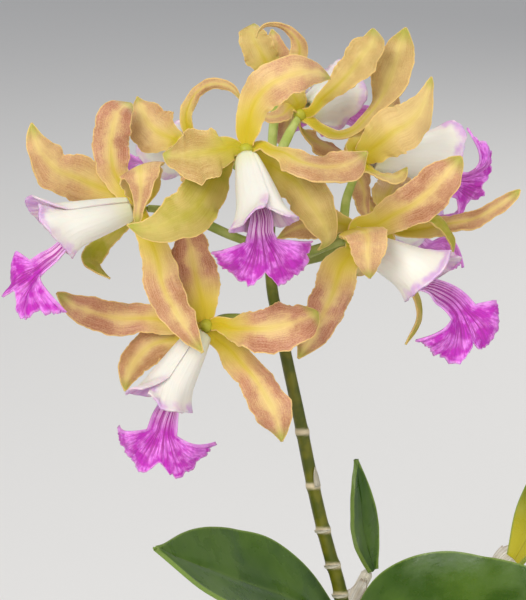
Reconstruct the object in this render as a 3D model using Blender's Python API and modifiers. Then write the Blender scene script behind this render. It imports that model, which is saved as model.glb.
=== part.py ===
"""A potted cattleya orchid in flower, at life size: pot, bark, canes, leaves, flower stem and nine blooms.

Metres, +Z up, with the origin at the centre of the pot's foot. The viewer of the spray stands at -Y.
"""

import math

import bmesh
import bpy
import numpy as np
from mathutils import Matrix, Vector

MM = 0.001

# Driving dimensions, in millimetres
POT_HEIGHT = 104.0
POT_TOP_RADIUS = 69.0
POT_FOOT_RADIUS = 47.0
POT_WALL = 5.5
RIM_HEIGHT = 24.0
RIM_PROUD = 4.5
DRAIN_RADIUS = 5.0
DRAIN_RING_RADIUS = 27.0
DRAIN_COUNT = 4
BARK_TOP = 93.0
BARK_CLEAR = 0.8
FIT_GAP = 0.35
PETAL_THICKNESS = 0.9
LIP_THICKNESS = 0.8
LEAF_THICKNESS = 2.0
HEART_RADIUS = 3.6
TUBE_LENGTH = 43.0
TUBE_BASE_RADIUS = 4.5
TUBE_MOUTH_RADIUS = 12.0
LOBE_HALF_WIDTH = 18.5
LOBE_REACH = 21.0
NECK_ROOT_HALF_WIDTH = 3.8
NECK_HALF_WIDTH = 5.4
NECK_RISE = 2.4
COLUMN_LENGTH = 25.0
COLUMN_RADIUS = 2.8
CLAW_START = 1.6
CLAW_LENGTH = 6.5
PETAL_CUP = -0.16
RUFFLE_WAVES = 1.9
LEAF_CUP = 0.16
LEAF_PROFILE = (0.24, 0.65, 0.90, 0.885, 0.75, 0.56, 0.2)
WRAP_DEGREES = 197.0
MOUTH_OPENING_DEGREES = 22.0
NOTCH_DEPTH = 0.36

# Mesh densities
PETAL_CELLS = (3, 9)
TUBE_CELLS = (10, 3)
LOBE_CELLS = (7, 5)
LEAF_CELLS = (4, 8)
TURNED_STEPS = 30
STATIONS = 48

# The spray is laid out in its own frame: millimetres to the right, up, and nearer to the viewer.
# Its up axis leans back from the vertical, so that these are the directions of someone looking down on it.
SPRAY_LEAN = math.radians(15.0)
SPRAY_ORIGIN = Vector((-60.0, -5.0, 376.0))
SPRAY_AXES = Matrix((
    (1.0, 0.0, 0.0),
    (0.0, math.sin(SPRAY_LEAN), -math.cos(SPRAY_LEAN)),
    (0.0, math.cos(SPRAY_LEAN), math.sin(SPRAY_LEAN)),
))

COLOURS = {
    "petal": ((0.62, 0.40, 0.13, 1.0), 0.55),
    "lip": ((0.86, 0.80, 0.78, 1.0), 0.5),
    "lobe": ((0.45, 0.05, 0.42, 1.0), 0.5),
    "column": ((0.85, 0.80, 0.62, 1.0), 0.5),
    "stem": ((0.16, 0.26, 0.05, 1.0), 0.5),
    "leaf": ((0.07, 0.17, 0.04, 1.0), 0.35),
    "cane": ((0.25, 0.33, 0.10, 1.0), 0.6),
    "bark": ((0.14, 0.07, 0.035, 1.0), 0.9),
    "pot": ((0.50, 0.20, 0.10, 1.0), 0.8),
}

# Each bloom: the heart where its pieces meet, the way its lip points and the side of it that carries
# the column, the line and the facing of the lip's middle lobe, its stalk's points, and its five sepals
# and petals. A tepal is (midline points from the heart, widths at even steps along it, the way that its
# inner face looks halfway, turns along it in degrees, how far its edges wave).
BLOOMS = {
    "centre": {
        "heart": (-7, 62, 38),
        "lip": (0.2, -0.79, 0.58),
        "column_side": (0.0, 0.6, 0.8),
        "lobe": [(6, -35, 13), (7, -46, 12), (7, -58, 8)],
        "lobe_face": (0, 0.25, 1),
        "stalk": [(3, 40, 5), (0, 50, 14), (-6, 64, 26)],
        "tepals": [
            ([(0, 5, 1), (1, 11, 3), (4, 20, 6), (11, 27, 8), (21, 31, 8), (29, 32, 3), (35, 30, -5)],
             (6, 11, 15, 16.5, 16.5, 13.5, 7),
             (0, 0, 1), (0, 0, 0), 0.9),
            ([(-4, 1, 2), (-9, 0, 5), (-14, -1, 8), (-19, -2, 10), (-25, -3, 12), (-30, -3, 10),
              (-34, -2, 8)],
             (4.5, 10, 18.5, 23.5, 22.5, 17, 11),
             (0, 0.2, 1), (0, 0, 0), 1.3),
            ([(5, 2, -2), (10, 0, 3), (16, -2, 8), (23, -6, 13), (33, -8, 14), (43, -6, 11), (50, -1, 4)],
             (4.5, 5, 10, 15.5, 17, 16, 9),
             (0, 0.3, 1), (0, 20, 30, 10, 0), 1.3),
            ([(-5, 0, -5), (-12, -7, -5), (-17, -18, 1), (-23, -26, 6), (-33, -31, 9), (-42, -33, 8),
              (-49, -31, 5)],
             (5, 11, 18, 21, 19, 14, 7),
             (0.2, 0, 1), (0, 0, 10, 10), 1.5),
            ([(4, -1, -10), (13, -7, -12), (21, -13, -7), (27, -22, -3), (32, -30, -4), (34, -37, -8),
              (30, -41, -12)],
             (5, 12, 16.5, 18.5, 17.5, 12, 6),
             (0, 0, 1), (0, -15, 10), 1.6),
        ],
    },
    "left": {
        "heart": (-52, 39, 20),
        "lip": (-0.91, -0.27, 0.32),
        "column_side": (-0.1, 0.88, 0.45),
        "lobe": [(-34, -21, 6), (-40, -26, 7), (-56, -42, 6)],
        "lobe_face": (-0.53, 0.55, 0.65),
        "stalk": [(3, 22, 3), (-12, 27, 3), (-28, 34, 6), (-42, 38, 14)],
        "tepals": [
            ([(-4, 2, -9), (-12, 7, -12), (-20, 10, -12), (-27, 13, -10), (-35, 16, -7), (-41, 22, -5),
              (-44, 28, -4), (-46, 36, -5)],
             (5, 9, 14, 18, 20, 18.5, 15, 9),
             (0, 0.1, 1), (0, 5, 0), 2.4),
            ([(-2, 4, -5), (-8, 10, -10), (-12, 17, -12), (-13, 27, -13), (-12, 36, -15), (-9, 43, -19),
              (-5, 46, -26)],
             (5, 9, 12, 15.5, 17.5, 17.5, 15),
             (0.2, 0, 1), (0, 0, 5), 1.0),
            ([(1, 3, 4), (2, 8, 11), (1, 13, 17), (1, 16, 23), (2, 12, 28), (2, 6, 27), (1, -1, 24),
              (0, -8, 22)],
             (6, 13, 17.5, 19, 17, 11, 6.5, 11),
             (0, 0, 1), (0, 0, 0), 1.1),
            ([(-3, -3, -8), (-9, -8, -16), (-15, -13, -18), (-19, -18, -16), (-21, -22, -12),
              (-18, -26, -9), (-13, -30, -9)],
             (4, 5, 5.5, 7, 10, 10, 4),
             (-0.5, 0, 1), (0, 10, 25), 0.6),
            ([(2, -5, 0), (5, -14, 2), (8, -23, 4), (10, -33, 6), (15, -43, 8), (22, -54, 10),
              (27, -61, 10)],
             (5, 10.5, 14, 15.5, 15, 13, 7),
             (0, 0, 1), (0, 0, 0), 1.2),
        ],
    },
    "low": {
        "heart": (-24, -11, 12),
        "lip": (-0.47, -0.8, 0.37),
        "column_side": (-0.3, 0.48, 0.82),
        "lobe": [(-15, -35, 5), (-18, -44, 5), (-21, -65, 1)],
        "lobe_face": (-0.1, 0.25, 1),
        "stalk": [(4, -8, 0), (-6, -8, -1), (-17, -8, 1)],
        "tepals": [
            ([(-1, 5, 0), (-2, 11, 0), (-4, 19, 0), (-6, 28, -2), (-8, 37, -4), (-12, 44, -9)],
             (6, 13, 18, 19, 18.5, 16, 9),
             (0, 0, 1), (0, 0, 0), 0.9),
            ([(5, 1, 3), (11, -1, 9), (18, -1, 15), (26, -1, 19), (34, 1, 21), (41, 3, 19), (47, 6, 13)],
             (5, 8, 15, 20, 22.5, 22.5, 19),
             (0, 0.2, 1), (0, 10, 0), 1.3),
            ([(4, -3, -3), (9, -9, -4), (15, -16, 0), (21, -23, 5), (26, -31, 7), (30, -40, 6),
              (32, -49, 2)],
             (6, 9.5, 12.5, 15, 18, 18, 10),
             (0, 0, 1), (0, 20, -10), 1.6),
            ([(-4, -2, -5), (-12, -5, -12), (-23, -8, -15), (-30, -14, -14), (-34, -21, -10),
              (-35, -28, -7)],
             (5, 10, 14, 15.5, 15, 13, 8),
             (0, 0, 1), (0, -10, 0), 1.0),
            ([(-5, 2, -4), (-12, 2, -10), (-25, 3, -12), (-37, 3, -12), (-47, 5, -10), (-57, 9, -6),
              (-64, 14, -3)],
             (5, 9, 12, 14.5, 15.5, 15, 12),
             (0, 0.2, 1), (0, 0, 0), 1.4),
        ],
    },
    "right": {
        "heart": (37, 26, 22),
        "lip": (0.84, -0.44, 0.32),
        "column_side": (0.27, 0.86, 0.45),
        "lobe": [(35, -23, 6), (45, -31, 7), (52, -51, 4)],
        "lobe_face": (0.35, 0.3, 1),
        "stalk": [(3, 14, 3), (12, 18, 5), (24, 22, 14)],
        "tepals": [
            ([(2, 2, 9), (4, 3, 15), (5, 2, 21), (6, -1, 26), (6, -6, 28), (6, -12, 26), (7, -17, 22)],
             (5.5, 11.5, 16, 17.5, 16.5, 14.5, 10),
             (0, 0.3, 1), (0, 0, 0), 1.0),
            ([(5, 3, -2), (11, 6, -3), (18, 10, 0), (26, 14, 4), (33, 20, 7), (40, 27, 8), (46, 34, 6)],
             (5, 9.5, 15, 18, 19, 19, 16),
             (0, 0, 1), (0, 0, 0), 0.9),
            ([(-2, -5, -5), (-4, -12, -5), (-7, -22, -7), (-11, -31, -10), (-16, -41, -12),
              (-22, -51, -14)],
             (5.5, 12, 16.5, 17.5, 17, 15, 9),
             (0, 0, 1), (0, 10, 0), 1.6),
            ([(4, -4, -14), (13, -11, -25), (24, -17, -22), (30, -26, -22), (30, -35, -20), (24, -45, -17)],
             (3.5, 5, 5.5, 5.5, 5.5, 5, 4.5),
             (0.7, 0.3, 0.7), (0, 20, 0), 0.8),
            ([(-3, 5, -6), (-9, 7, -7), (-17, 6, -7), (-24, 4, -8), (-31, 0, -10)],
             (3.5, 7, 11, 13, 12, 9, 5),
             (0, 0.6, 1), (0, 20, 0), 0.8),
        ],
    },
    "upper_right": {
        "heart": (42, 60, 8),
        "lip": (0.86, 0.07, -0.5),
        "column_side": (0, 0.9, 0.4),
        "lobe": [(39, -7, -27), (43, -8, -30), (60, -8, -44)],
        "lobe_face": (0.46, -0.5, 0.65),
        "stalk": [(3, 18, 2), (20, 20, -3), (33, 29, -2), (36, 44, 0)],
        "tepals": [
            ([(1, 2, 11), (7, 6, 16), (12, 10, 20), (19, 14, 20), (24, 20, 18), (27, 27, 15), (29, 34, 12)],
             (7, 13, 18.5, 20, 17, 9, 8),
             (0, 0, 1), (0, -10, 0), 1.1),
            ([(0, 4, -5), (5, 11, -13), (10, 19, -19), (14, 27, -25), (16, 34, -30)],
             (4.2, 9.5, 13.2, 13.7, 13.0, 11.2, 6.3),
             (0.2, 0, 1), (0, 10, 0), 1.0),
            ([(0, 5, -9), (2, 10, -20), (5, 14, -30), (9, 16, -39)],
             (3.9, 8.8, 12.2, 12.7, 12.1, 10.4, 5.9),
             (0.6, -0.5, -0.3), (0, 0, 0), 1.2),
            ([(2, -4, 5), (5, -6, 10), (10, -8, 13), (15, -8, 12), (19, -4, 8)],
             (3.5, 5, 7, 8.5, 9, 8, 5),
             (-0.3, 1, 0.5), (0, 20, 0), 1.0),
            ([(1, -5, -8), (1, -11, -16), (2, -19, -20), (4, -26, -23)],
             (3.6, 8.2, 11.3, 11.8, 11.2, 9.6, 5.4),
             (0.4, 0.2, 1), (0, 0, 0), 1.2),
        ],
    },
    "top": {
        "heart": (16, 80, -3),
        "lip": (0.4, 0.26, -0.88),
        "column_side": (0, 1, 0.1),
        "lobe": [(17, 2, -36), (19, 0, -43), (21, -3, -57)],
        "lobe_face": (0.2, 0.9, -0.3),
        "stalk": [(4, 52, 2), (7, 62, 6), (12, 73, 4)],
        "tepals": [
            ([(4, 1, 3), (9, 6, 6), (15, 11, 10), (21, 17, 13), (26, 24, 15), (31, 30, 14), (31, 36, 9)],
             (4.5, 5, 7.5, 12, 15.5, 16, 12),
             (0, 0, 1), (0, 0, 0), 1.0),
            ([(-1, 4, 3), (-3, 8, 5), (-4, 13, 6), (-5, 19, 4)],
             (3.3, 7.5, 10.3, 10.8, 10.2, 8.8, 5.0),
             (0, 0, 1), (0, 0, 0), 1.0),
            ([(4, -2, 0), (9, -6, 1), (16, -9, 2), (23, -7, 2), (28, -2, 2), (33, 4, 2), (37, 11, 2),
              (40, 19, 2), (43, 29, 0), (46, 38, -5)],
             (4, 5, 5, 5, 7, 15, 18.5, 18.5, 13),
             (0, 0.3, 1), (0, 30, 20, 0, 0), 1.5),
            ([(-4, 0, 5), (-8, -1, 9), (-13, -2, 11), (-19, -1, 11)],
             (2.1, 4.8, 6.6, 6.9, 6.5, 5.6, 3.1),
             (0.1, 0.2, 1), (0, 0, 0), 1.2),
            ([(0, -5, -2), (5, -10, -10), (13, -13, -17), (20, -15, -25)],
             (3, 6, 10, 12, 11, 9, 5),
             (0, 0.8, 1), (0, 0, 0), 1.4),
        ],
    },
    "top_back": {
        "heart": (7, 94, -26),
        "lip": (0.15, -0.05, -0.99),
        "column_side": (-1, 0.3, 0),
        "lobe": [(15, -1, -39), (17, -2, -49), (18, -6, -61)],
        "lobe_face": (0, 0.8, -0.6),
        "stalk": [(4, 56, 0), (4, 68, -7), (5, 81, -16)],
        "tepals": [
            ([(-3, 5, 0), (-5, 9, 2), (-8, 15, 4), (-11, 20, 5), (-12, 25, 3), (-11, 28, -2)],
             (5.5, 10, 13.5, 15, 14.5, 13, 8),
             (0, 0, 1), (0, 0, 0), 1.0),
            ([(1, 4, 8), (7, 10, 6), (9, 16, 6), (7, 21, 9), (2, 25, 12), (-5, 26, 13), (-9, 23, 14),
              (-10, 20, 14)],
             (4, 6.5, 9, 8, 4.5, 3.5, 3, 3),
             (0.3, 0.2, 1), (0, 0, 50, 60), 0.6),
            ([(1, 5, -6), (0, 10, -11), (-1, 17, -12), (-2, 22, -11), (-3, 27, -14)],
             (3.6, 8.2, 11.3, 11.8, 11.2, 9.6, 5.4),
             (0, 0, 1), (0, 0, 0), 1.0),
            ([(-5, -1, -2), (-11, -3, -6), (-16, -6, -16), (-18, -10, -30)],
             (4.5, 10.2, 14.1, 14.7, 14.0, 12.0, 6.8),
             (-0.5, 0.4, 1), (0, 0, 0), 1.2),
            ([(6, -1, 1), (5, -10, -8), (3, -18, -18), (2, -24, -32)],
             (4.2, 9.5, 13.2, 13.7, 13.0, 11.2, 6.3),
             (0.4, 0.3, 1), (0, 0, 0), 1.2),
        ],
    },
    "right_back": {
        "heart": (55, 33, -20),
        "lip": (0.3, 0.12, -0.94),
        "column_side": (0, 1, 0.1),
        "lobe": [(13, -5, -34), (16, -9, -43), (21, -13, -63)],
        "lobe_face": (0.2, 0.8, -0.5),
        "stalk": [(3, 15, 0), (18, 17, -8), (34, 22, -16), (45, 28, -17)],
        "tepals": [
            ([(5, -2, 0), (14, -2, 1), (25, 0, 3), (36, 2, 5), (46, 7, 7), (52, 11, 8), (57, 15, 8)],
             (4, 6.5, 9, 10, 8, 8.5, 12),
             (0, 0.2, 1), (0, 20, 0), 1.2),
            ([(3, 0, 6), (10, 2, 11), (17, 3, 15), (23, -1, 17), (27, -8, 15), (27, -16, 8)],
             (3.5, 5, 6, 6.5, 6.5, 5, 4),
             (0.4, 0.5, 0.6), (0, 0, 0), 0.6),
            ([(0, 6, 0), (0, 13, -4), (4, 20, -12), (8, 26, -23)],
             (4.5, 10.2, 14.1, 14.7, 14.0, 12.0, 6.8),
             (0.1, -0.4, -1), (0, 0, 0), 1.2),
            ([(-4, 2, 2), (-7, 6, 1), (-10, 11, -2), (-11, 16, -7)],
             (3.0, 6.8, 9.4, 9.8, 9.3, 8.0, 4.5),
             (0.4, 0.4, 1), (0, 0, 0), 1.6),
            ([(-3, -4, -4), (-7, -10, -10), (-11, -16, -20), (-13, -22, -32)],
             (4.5, 10.2, 14.1, 14.7, 14.0, 12.0, 6.8),
             (0.2, 0.2, -1), (0, 0, 0), 1.2),
        ],
    },
    "left_back": {
        "heart": (-31, 67, -6),
        "lip": (-0.35, 0.0, -0.94),
        "column_side": (0.45, 0.9, 0),
        "lobe": [(-19, -6, -34), (-20, -6, -42), (-23, -3, -60)],
        "lobe_face": (-0.1, 0.9, -0.3),
        "stalk": [(2, 46, 2), (-6, 54, 4), (-19, 62, 3)],
        "tepals": [
            ([(-4, 1, 1), (-8, 3, -1), (-13, 5, -3), (-18, 9, -5), (-21, 14, -7), (-23, 18, -10),
              (-24, 22, -13)],
             (4, 7, 14, 21, 19.5, 14, 5),
             (0, 0.1, 1), (0, 0, 0), 0.8),
            ([(-1, 5, 3), (-2, 13, 5), (2, 22, 5), (9, 26, 4), (17, 25, 2), (22, 19, -1)],
             (3.5, 5, 5.5, 5, 5, 4.5, 3.5),
             (0.4, 0.2, 0.8), (0, 0, -20), 0.5),
            ([(0, -4, 2), (1, -11, 3), (4, -17, -1), (7, -22, -9)],
             (3.9, 8.8, 12.2, 12.7, 12.1, 10.4, 5.9),
             (-0.2, 0.3, 1), (0, 0, 0), 1.0),
            ([(5, -2, -1), (9, -6, -8), (13, -9, -18), (15, -11, -30)],
             (3, 5, 10, 13, 13, 11, 6),
             (0, 0.3, 1), (0, 0, 0), 1.2),
            ([(6, 2, -3), (8, 1, -16), (9, -1, -29), (10, -3, -42)],
             (3, 4, 8, 12, 12, 10, 6),
             (-0.7, -0.2, -0.6), (0, 0, 0), 1.3),
        ],
    },
}

# The flower stem's line and radii, in the spray's frame
STEM_LINE = [
    (37, -147.3, -40.5), (34, -128, -34), (30, -114, -30), (26, -99, -26), (21, -77, -20), (16, -52, -13),
    (11, -29, -7), (7, -10, -3), (4, 4, 0), (3, 20, 3), (3, 36, 4), (4, 50, 2), (5, 60, 0),
]
STEM_RADIUS = 2.9
STALK_RADIUS = 1.5
OVARY_RADIUS = 2.1

# Canes: the creeping foot, then the standing cane, as (x, y, z, radius) in millimetres
CANES = {
    "lead": [(-2, 2, 92, 5), (-10, 0, 94, 6), (-17, -3, 104, 7), (-21, -5, 130, 9), (-23, -5, 165, 9.5),
             (-24, -4, 200, 8), (-23, -3, 222, 6)],
    "young": [(14, 14, 92, 4), (6, 22, 94, 5), (-3, 28, 104, 5.5), (-12, 31, 140, 5), (-19, 32, 180, 4.2),
              (-20, 33, 214, 3.2), (-11, 34, 237, 2.7)],
    "side": [(12, 6, 92, 5), (22, 9, 94, 6), (30, 11, 106, 6.5), (34, 12, 140, 8.5), (36, 11, 185, 8),
             (39, 10, 222, 6), (46, 9, 247, 4.6), (60, 8, 261, 4.2)],
    "old": [(24, -8, 92, 5), (32, -14, 94, 6), (37, -18, 104, 7), (40, -20, 128, 9), (42, -21, 152, 8.5),
            (43, -21, 170, 5)],
    "back": [(20, 30, 92, 5), (27, 38, 94, 6), (31, 42, 104, 7), (33, 44, 128, 8.5), (34, 45, 150, 8),
             (34, 45, 166, 5)],
}

# Leaves: midline in millimetres from the world origin, width, upper face, cup, and turns along the blade
LEAVES = {
    "left": ([(-28, -6, 224), (-45, -20, 243), (-68, -43, 262), (-92, -68, 281), (-104, -82, 292)], 60,
             (0.15, -0.6, 1.0), (0, -10, 0)),
    "right": ([(-18, -6, 224), (-4, -18, 238), (28, -33, 244), (62, -46, 246.5), (92, -56, 237)], 62,
              (-0.1, -0.7, 1.0), (0, 12, 0)),
    "young": ([(-10, 33.6, 239.4), (-13, 34, 252), (-15.5, 34, 271), (-17.5, 35, 290)], 19, (0.9, -0.9, 0.2),
              (0, 0, 0)),
    "side_up": ([(54, 0.5, 257), (62, 2, 272), (79, 8, 294), (92, 11, 318), (94, 8, 346), (81, 2, 374)], 44,
                (-0.9, -0.5, 0.4), (0, 0, 0)),
    "side_out": ([(66, 12, 259), (86, 22, 263), (110, 36, 264), (136, 50, 257), (152, 60, 248)], 50,
                 (-0.2, -0.4, 1.0), (0, 0, 0)),
    "old_out": ([(45, -23, 171.6), (62, -38, 186), (84, -56, 196), (108, -76, 196), (124, -90, 188)], 48,
                (-0.2, -0.2, 1.0), (0, 0, 0)),
    "back_out": ([(35, 47, 167.6), (42, 62, 184), (52, 84, 200), (64, 108, 206), (74, 128, 200)], 50,
                 (0.0, -0.5, 1.0), (0, 0, 0)),
}


def clear_scene():
    """Take away whatever the file opened with."""
    for thing in list(bpy.data.objects):
        bpy.data.objects.remove(thing)


def new_collection(name):
    """A collection linked under the scene."""
    made = bpy.data.collections.new(name)
    bpy.context.scene.collection.children.link(made)
    return made


def make_materials():
    """One Principled material for each kind of tissue, the bark and the pot."""
    made = {}
    for name, (colour, roughness) in COLOURS.items():
        material = bpy.data.materials.new(name)
        material.use_nodes = True
        shader = material.node_tree.nodes["Principled BSDF"]
        shader.inputs["Base Color"].default_value = colour
        shader.inputs["Roughness"].default_value = roughness
        shader.inputs["Metallic"].default_value = 0.0
        material.diffuse_color = colour
        made[name] = material
    return made


def add_object(name, mesh, material, collection):
    """A mesh object with one material, in the collection."""
    made = bpy.data.objects.new(name, mesh)
    if material is not None:
        mesh.materials.clear()
        mesh.materials.append(material)
    collection.objects.link(made)
    return made


def unit(vector):
    """The vector at length one."""
    return vector / np.linalg.norm(vector)


def in_spray(point):
    """A point of the spray's frame as world millimetres."""
    return SPRAY_AXES @ Vector(point) + SPRAY_ORIGIN


def spray_way(direction):
    """A direction of the spray's frame as a world unit vector."""
    return (SPRAY_AXES @ Vector(direction)).normalized()


def smooth_line(points, count):
    """A Catmull-Rom curve through the points, read at evenly spaced stations."""
    given = np.array([tuple(p) for p in points], float)
    padded = np.vstack([2 * given[0] - given[1], given, 2 * given[-1] - given[-2]])
    steps = 16
    dense = []
    for i in range(len(given) - 1):
        p0, p1, p2, p3 = padded[i:i + 4]
        for k in range(steps):
            s = k / steps
            dense.append(0.5 * (2 * p1 + (p2 - p0) * s + (2 * p0 - 5 * p1 + 4 * p2 - p3) * s ** 2
                                + (3 * p1 - p0 - 3 * p2 + p3) * s ** 3))
    dense.append(given[-1])
    dense = np.array(dense)
    run = np.concatenate([[0.0], np.cumsum(np.linalg.norm(np.diff(dense, axis=0), axis=1))])
    wanted = np.linspace(0.0, run[-1], count)
    return np.stack([np.interp(wanted, run, dense[:, axis]) for axis in range(3)], axis=1)


def carried_frames(line, face, turns, start=0.0):
    """Across and normal directions along a line: a face carried from its start without twist, then turned."""
    tangents = np.gradient(line, axis=0)
    tangents /= np.linalg.norm(tangents, axis=1)[:, None]
    first = round(start * (len(line) - 1))
    normals = np.zeros_like(tangents)
    for stations in (range(first, len(line)), range(first, -1, -1)):
        normal = np.array(tuple(face), float)
        for station in stations:
            tangent = tangents[station]
            normal = unit(normal - tangent * (normal @ tangent))
            normals[station] = normal
    across = np.cross(tangents, normals)
    share = np.linspace(0.0, 1.0, len(line))
    angle = np.radians(np.interp(share, np.linspace(0.0, 1.0, len(turns)), turns))[:, None]
    turned_across = across * np.cos(angle) + normals * np.sin(angle)
    turned_normal = normals * np.cos(angle) - across * np.sin(angle)
    return turned_across, turned_normal


def half_width(widths, t):
    """Half the width of a blade at a share t of its length: smooth through its widths, round at the tip."""
    spot = t * (len(widths) - 1)
    low = min(int(spot), len(widths) - 2)
    s = spot - low
    p1, p2 = widths[low], widths[low + 1]
    p0 = widths[low - 1] if low > 0 else 2 * p1 - p2
    p3 = widths[low + 2] if low + 2 < len(widths) else 2 * p2 - p1
    full = 0.5 * (2 * p1 + (p2 - p0) * s + (2 * p0 - 5 * p1 + 4 * p2 - p3) * s ** 2
                  + (3 * p1 - p0 - 3 * p2 + p3) * s ** 3)
    return max(0.5, 0.5 * full * max(0.0, 1.0 - t ** 6) ** 0.7)


def sheet_object(name, cells, place, thickness, collection):
    """A grid moved to where place(u, t) says, with u from -1 to 1 and t from 0 to 1, thickened both ways."""
    shape = bmesh.new()
    bmesh.ops.create_grid(shape, x_segments=cells[0], y_segments=cells[1], size=1.0)
    for vert in shape.verts:
        vert.co = Vector(place(vert.co.x, 0.5 * (vert.co.y + 1.0))) * MM
    bmesh.ops.triangulate(shape, faces=shape.faces, quad_method="FIXED")
    mesh = bpy.data.meshes.new(name)
    shape.to_mesh(mesh)
    shape.free()
    made = add_object(name, mesh, None, collection)
    shell = made.modifiers.new("thickness", "SOLIDIFY")
    shell.thickness = thickness * MM
    shell.offset = 0.0
    return made


def blade_object(name, cells, points, widths, face, turns, look, thickness, collection):
    """A blade about a midline. look holds cup, ruffle in mm, the ruffle's phase, and where face is meant."""
    cup, ruffle, phase, start = look
    line = smooth_line(points, STATIONS)
    across, normals = carried_frames(line, face, turns, start)
    stations = np.linspace(0.0, 1.0, STATIONS)

    def place(u, t):
        centre, side, up = (
            np.array([np.interp(t, stations, rows[:, axis]) for axis in range(3)])
            for rows in (line, across, normals)
        )
        half = half_width(widths, t)
        wave = math.sin(2 * math.pi * (RUFFLE_WAVES * t + phase + 0.3 * (u > 0)))
        swell = math.sin(math.pi * min(1.0, t * 1.05)) ** 0.6 if t < 0.95 else 0.3
        lift = cup * half * u * u + ruffle * swell * u * u * wave * 2.0 * half / max(widths)
        return centre + unit(side) * (u * half) + unit(up) * lift

    return sheet_object(name, cells, place, thickness, collection)


def solid_mesh(source, name):
    """The evaluated mesh of an object, in world space, with doubled points welded."""
    graph = bpy.context.evaluated_depsgraph_get()
    mesh = bpy.data.meshes.new_from_object(source.evaluated_get(graph))
    mesh.name = name
    mesh.transform(source.matrix_world)
    shape = bmesh.new()
    shape.from_mesh(mesh)
    bmesh.ops.remove_doubles(shape, verts=shape.verts, dist=1e-6)
    shape.to_mesh(mesh)
    shape.free()
    return mesh


def keep_main_body(mesh):
    """Drop loose scraps and sealed hollows that a union leaves, so that one body remains."""
    shape = bmesh.new()
    shape.from_mesh(mesh)
    waiting = set(shape.verts)
    main = set()
    while waiting:
        front = [waiting.pop()]
        body = set(front)
        while front:
            vert = front.pop()
            for edge in vert.link_edges:
                other = edge.other_vert(vert)
                if other in waiting:
                    waiting.discard(other)
                    body.add(other)
                    front.append(other)
        if len(body) > len(main):
            main = body
    bmesh.ops.delete(shape, geom=[vert for vert in shape.verts if vert not in main], context="VERTS")
    shape.to_mesh(mesh)
    shape.free()


def fused(name, core, members, material, collection):
    """One solid from a core object and the members of a collection, joined by a Boolean union."""
    joint = core.modifiers.new("join", "BOOLEAN")
    joint.operation = "UNION"
    joint.operand_type = "COLLECTION"
    joint.collection = members
    joint.solver = "EXACT"
    bpy.context.view_layer.update()
    mesh = solid_mesh(core, name)
    keep_main_body(mesh)
    bpy.data.objects.remove(core)
    for thing in list(members.objects):
        bpy.data.objects.remove(thing)
    bpy.data.collections.remove(members)
    return add_object(name, mesh, material, collection)


def ball(name, centre, radii, axes, segments, collection):
    """An ellipsoid about a centre, its three radii along the axes matrix's columns."""
    shape = bmesh.new()
    bmesh.ops.create_uvsphere(shape, u_segments=segments[0], v_segments=segments[1], radius=1.0)
    sizes = Matrix.Diagonal((*(r * MM for r in radii), 1.0))
    place = Matrix.Translation(Vector(centre) * MM) @ axes.to_4x4() @ sizes
    bmesh.ops.transform(shape, matrix=place, verts=shape.verts)
    mesh = bpy.data.meshes.new(name)
    shape.to_mesh(mesh)
    shape.free()
    return add_object(name, mesh, None, collection)


def rod_object(name, stations, collection, sides=2):
    """A closed round rod through (point, radius) stations in millimetres, as a bevelled curve made a mesh."""
    line = bpy.data.curves.new(name, "CURVE")
    line.dimensions = "3D"
    line.bevel_depth = MM
    line.bevel_resolution = sides
    line.use_fill_caps = True
    spline = line.splines.new("POLY")
    spline.points.add(len(stations) - 1)
    for knot, (point, radius) in zip(spline.points, stations):
        knot.co = (*(Vector(point) * MM), 1.0)
        knot.radius = radius
    wire = bpy.data.objects.new(name, line)
    collection.objects.link(wire)
    bpy.context.view_layer.update()
    mesh = solid_mesh(wire, name)
    bpy.data.objects.remove(wire)
    return add_object(name, mesh, None, collection)


def lip_axes(bloom):
    """World directions of a lip: along its tube, towards the column's side, and sideways."""
    along = spray_way(bloom["lip"])
    top = spray_way(bloom["column_side"])
    top = (top - along * top.dot(along)).normalized()
    return along, top, along.cross(top)


def stalk_way(bloom):
    """World direction from a bloom's heart to the last point of its stalk."""
    return (in_spray(bloom["stalk"][-1]) - in_spray(bloom["heart"])).normalized()


def claw_point(bloom, first):
    """Where a tepal's claw has left the heart, kept clear of the lip's foot and of the stalk."""
    way = spray_way(first)
    for barred, limit in ((spray_way(bloom["lip"]), -0.1), (stalk_way(bloom), 0.2)):
        excess = way.dot(barred) - limit
        if excess > 0.0:
            way = (way - barred * excess).normalized()
    return in_spray(bloom["heart"]) + way * CLAW_LENGTH, way


def make_tepals(name, bloom, material, collection):
    """The three sepals and two petals of a bloom, joined at its heart."""
    members = new_collection(name + "_parts")
    heart = Vector(bloom["heart"])
    for number, (points, widths, face, turns, ruffle) in enumerate(bloom["tepals"]):
        claw, way = claw_point(bloom, points[0])
        midline = [in_spray(heart) + way * CLAW_START, claw]
        midline += [in_spray(heart + Vector(p)) for p in points[1:]]
        blade_object(f"{name}_{number}", PETAL_CELLS, midline, widths, spray_way(face), turns,
                     (PETAL_CUP, ruffle, 0.37 * number, 0.5), PETAL_THICKNESS, members)
    core = ball(name + "_heart", in_spray(heart), (HEART_RADIUS,) * 3, Matrix.Identity(3), (7, 4), collection)
    return fused(name + "_bloom_petals", core, members, material, collection)


def tube_radius(z):
    """Radius of the lip's tube at a distance z from its foot."""
    return TUBE_BASE_RADIUS + (TUBE_MOUTH_RADIUS - TUBE_BASE_RADIUS) * (z / TUBE_LENGTH) ** 0.85


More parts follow.
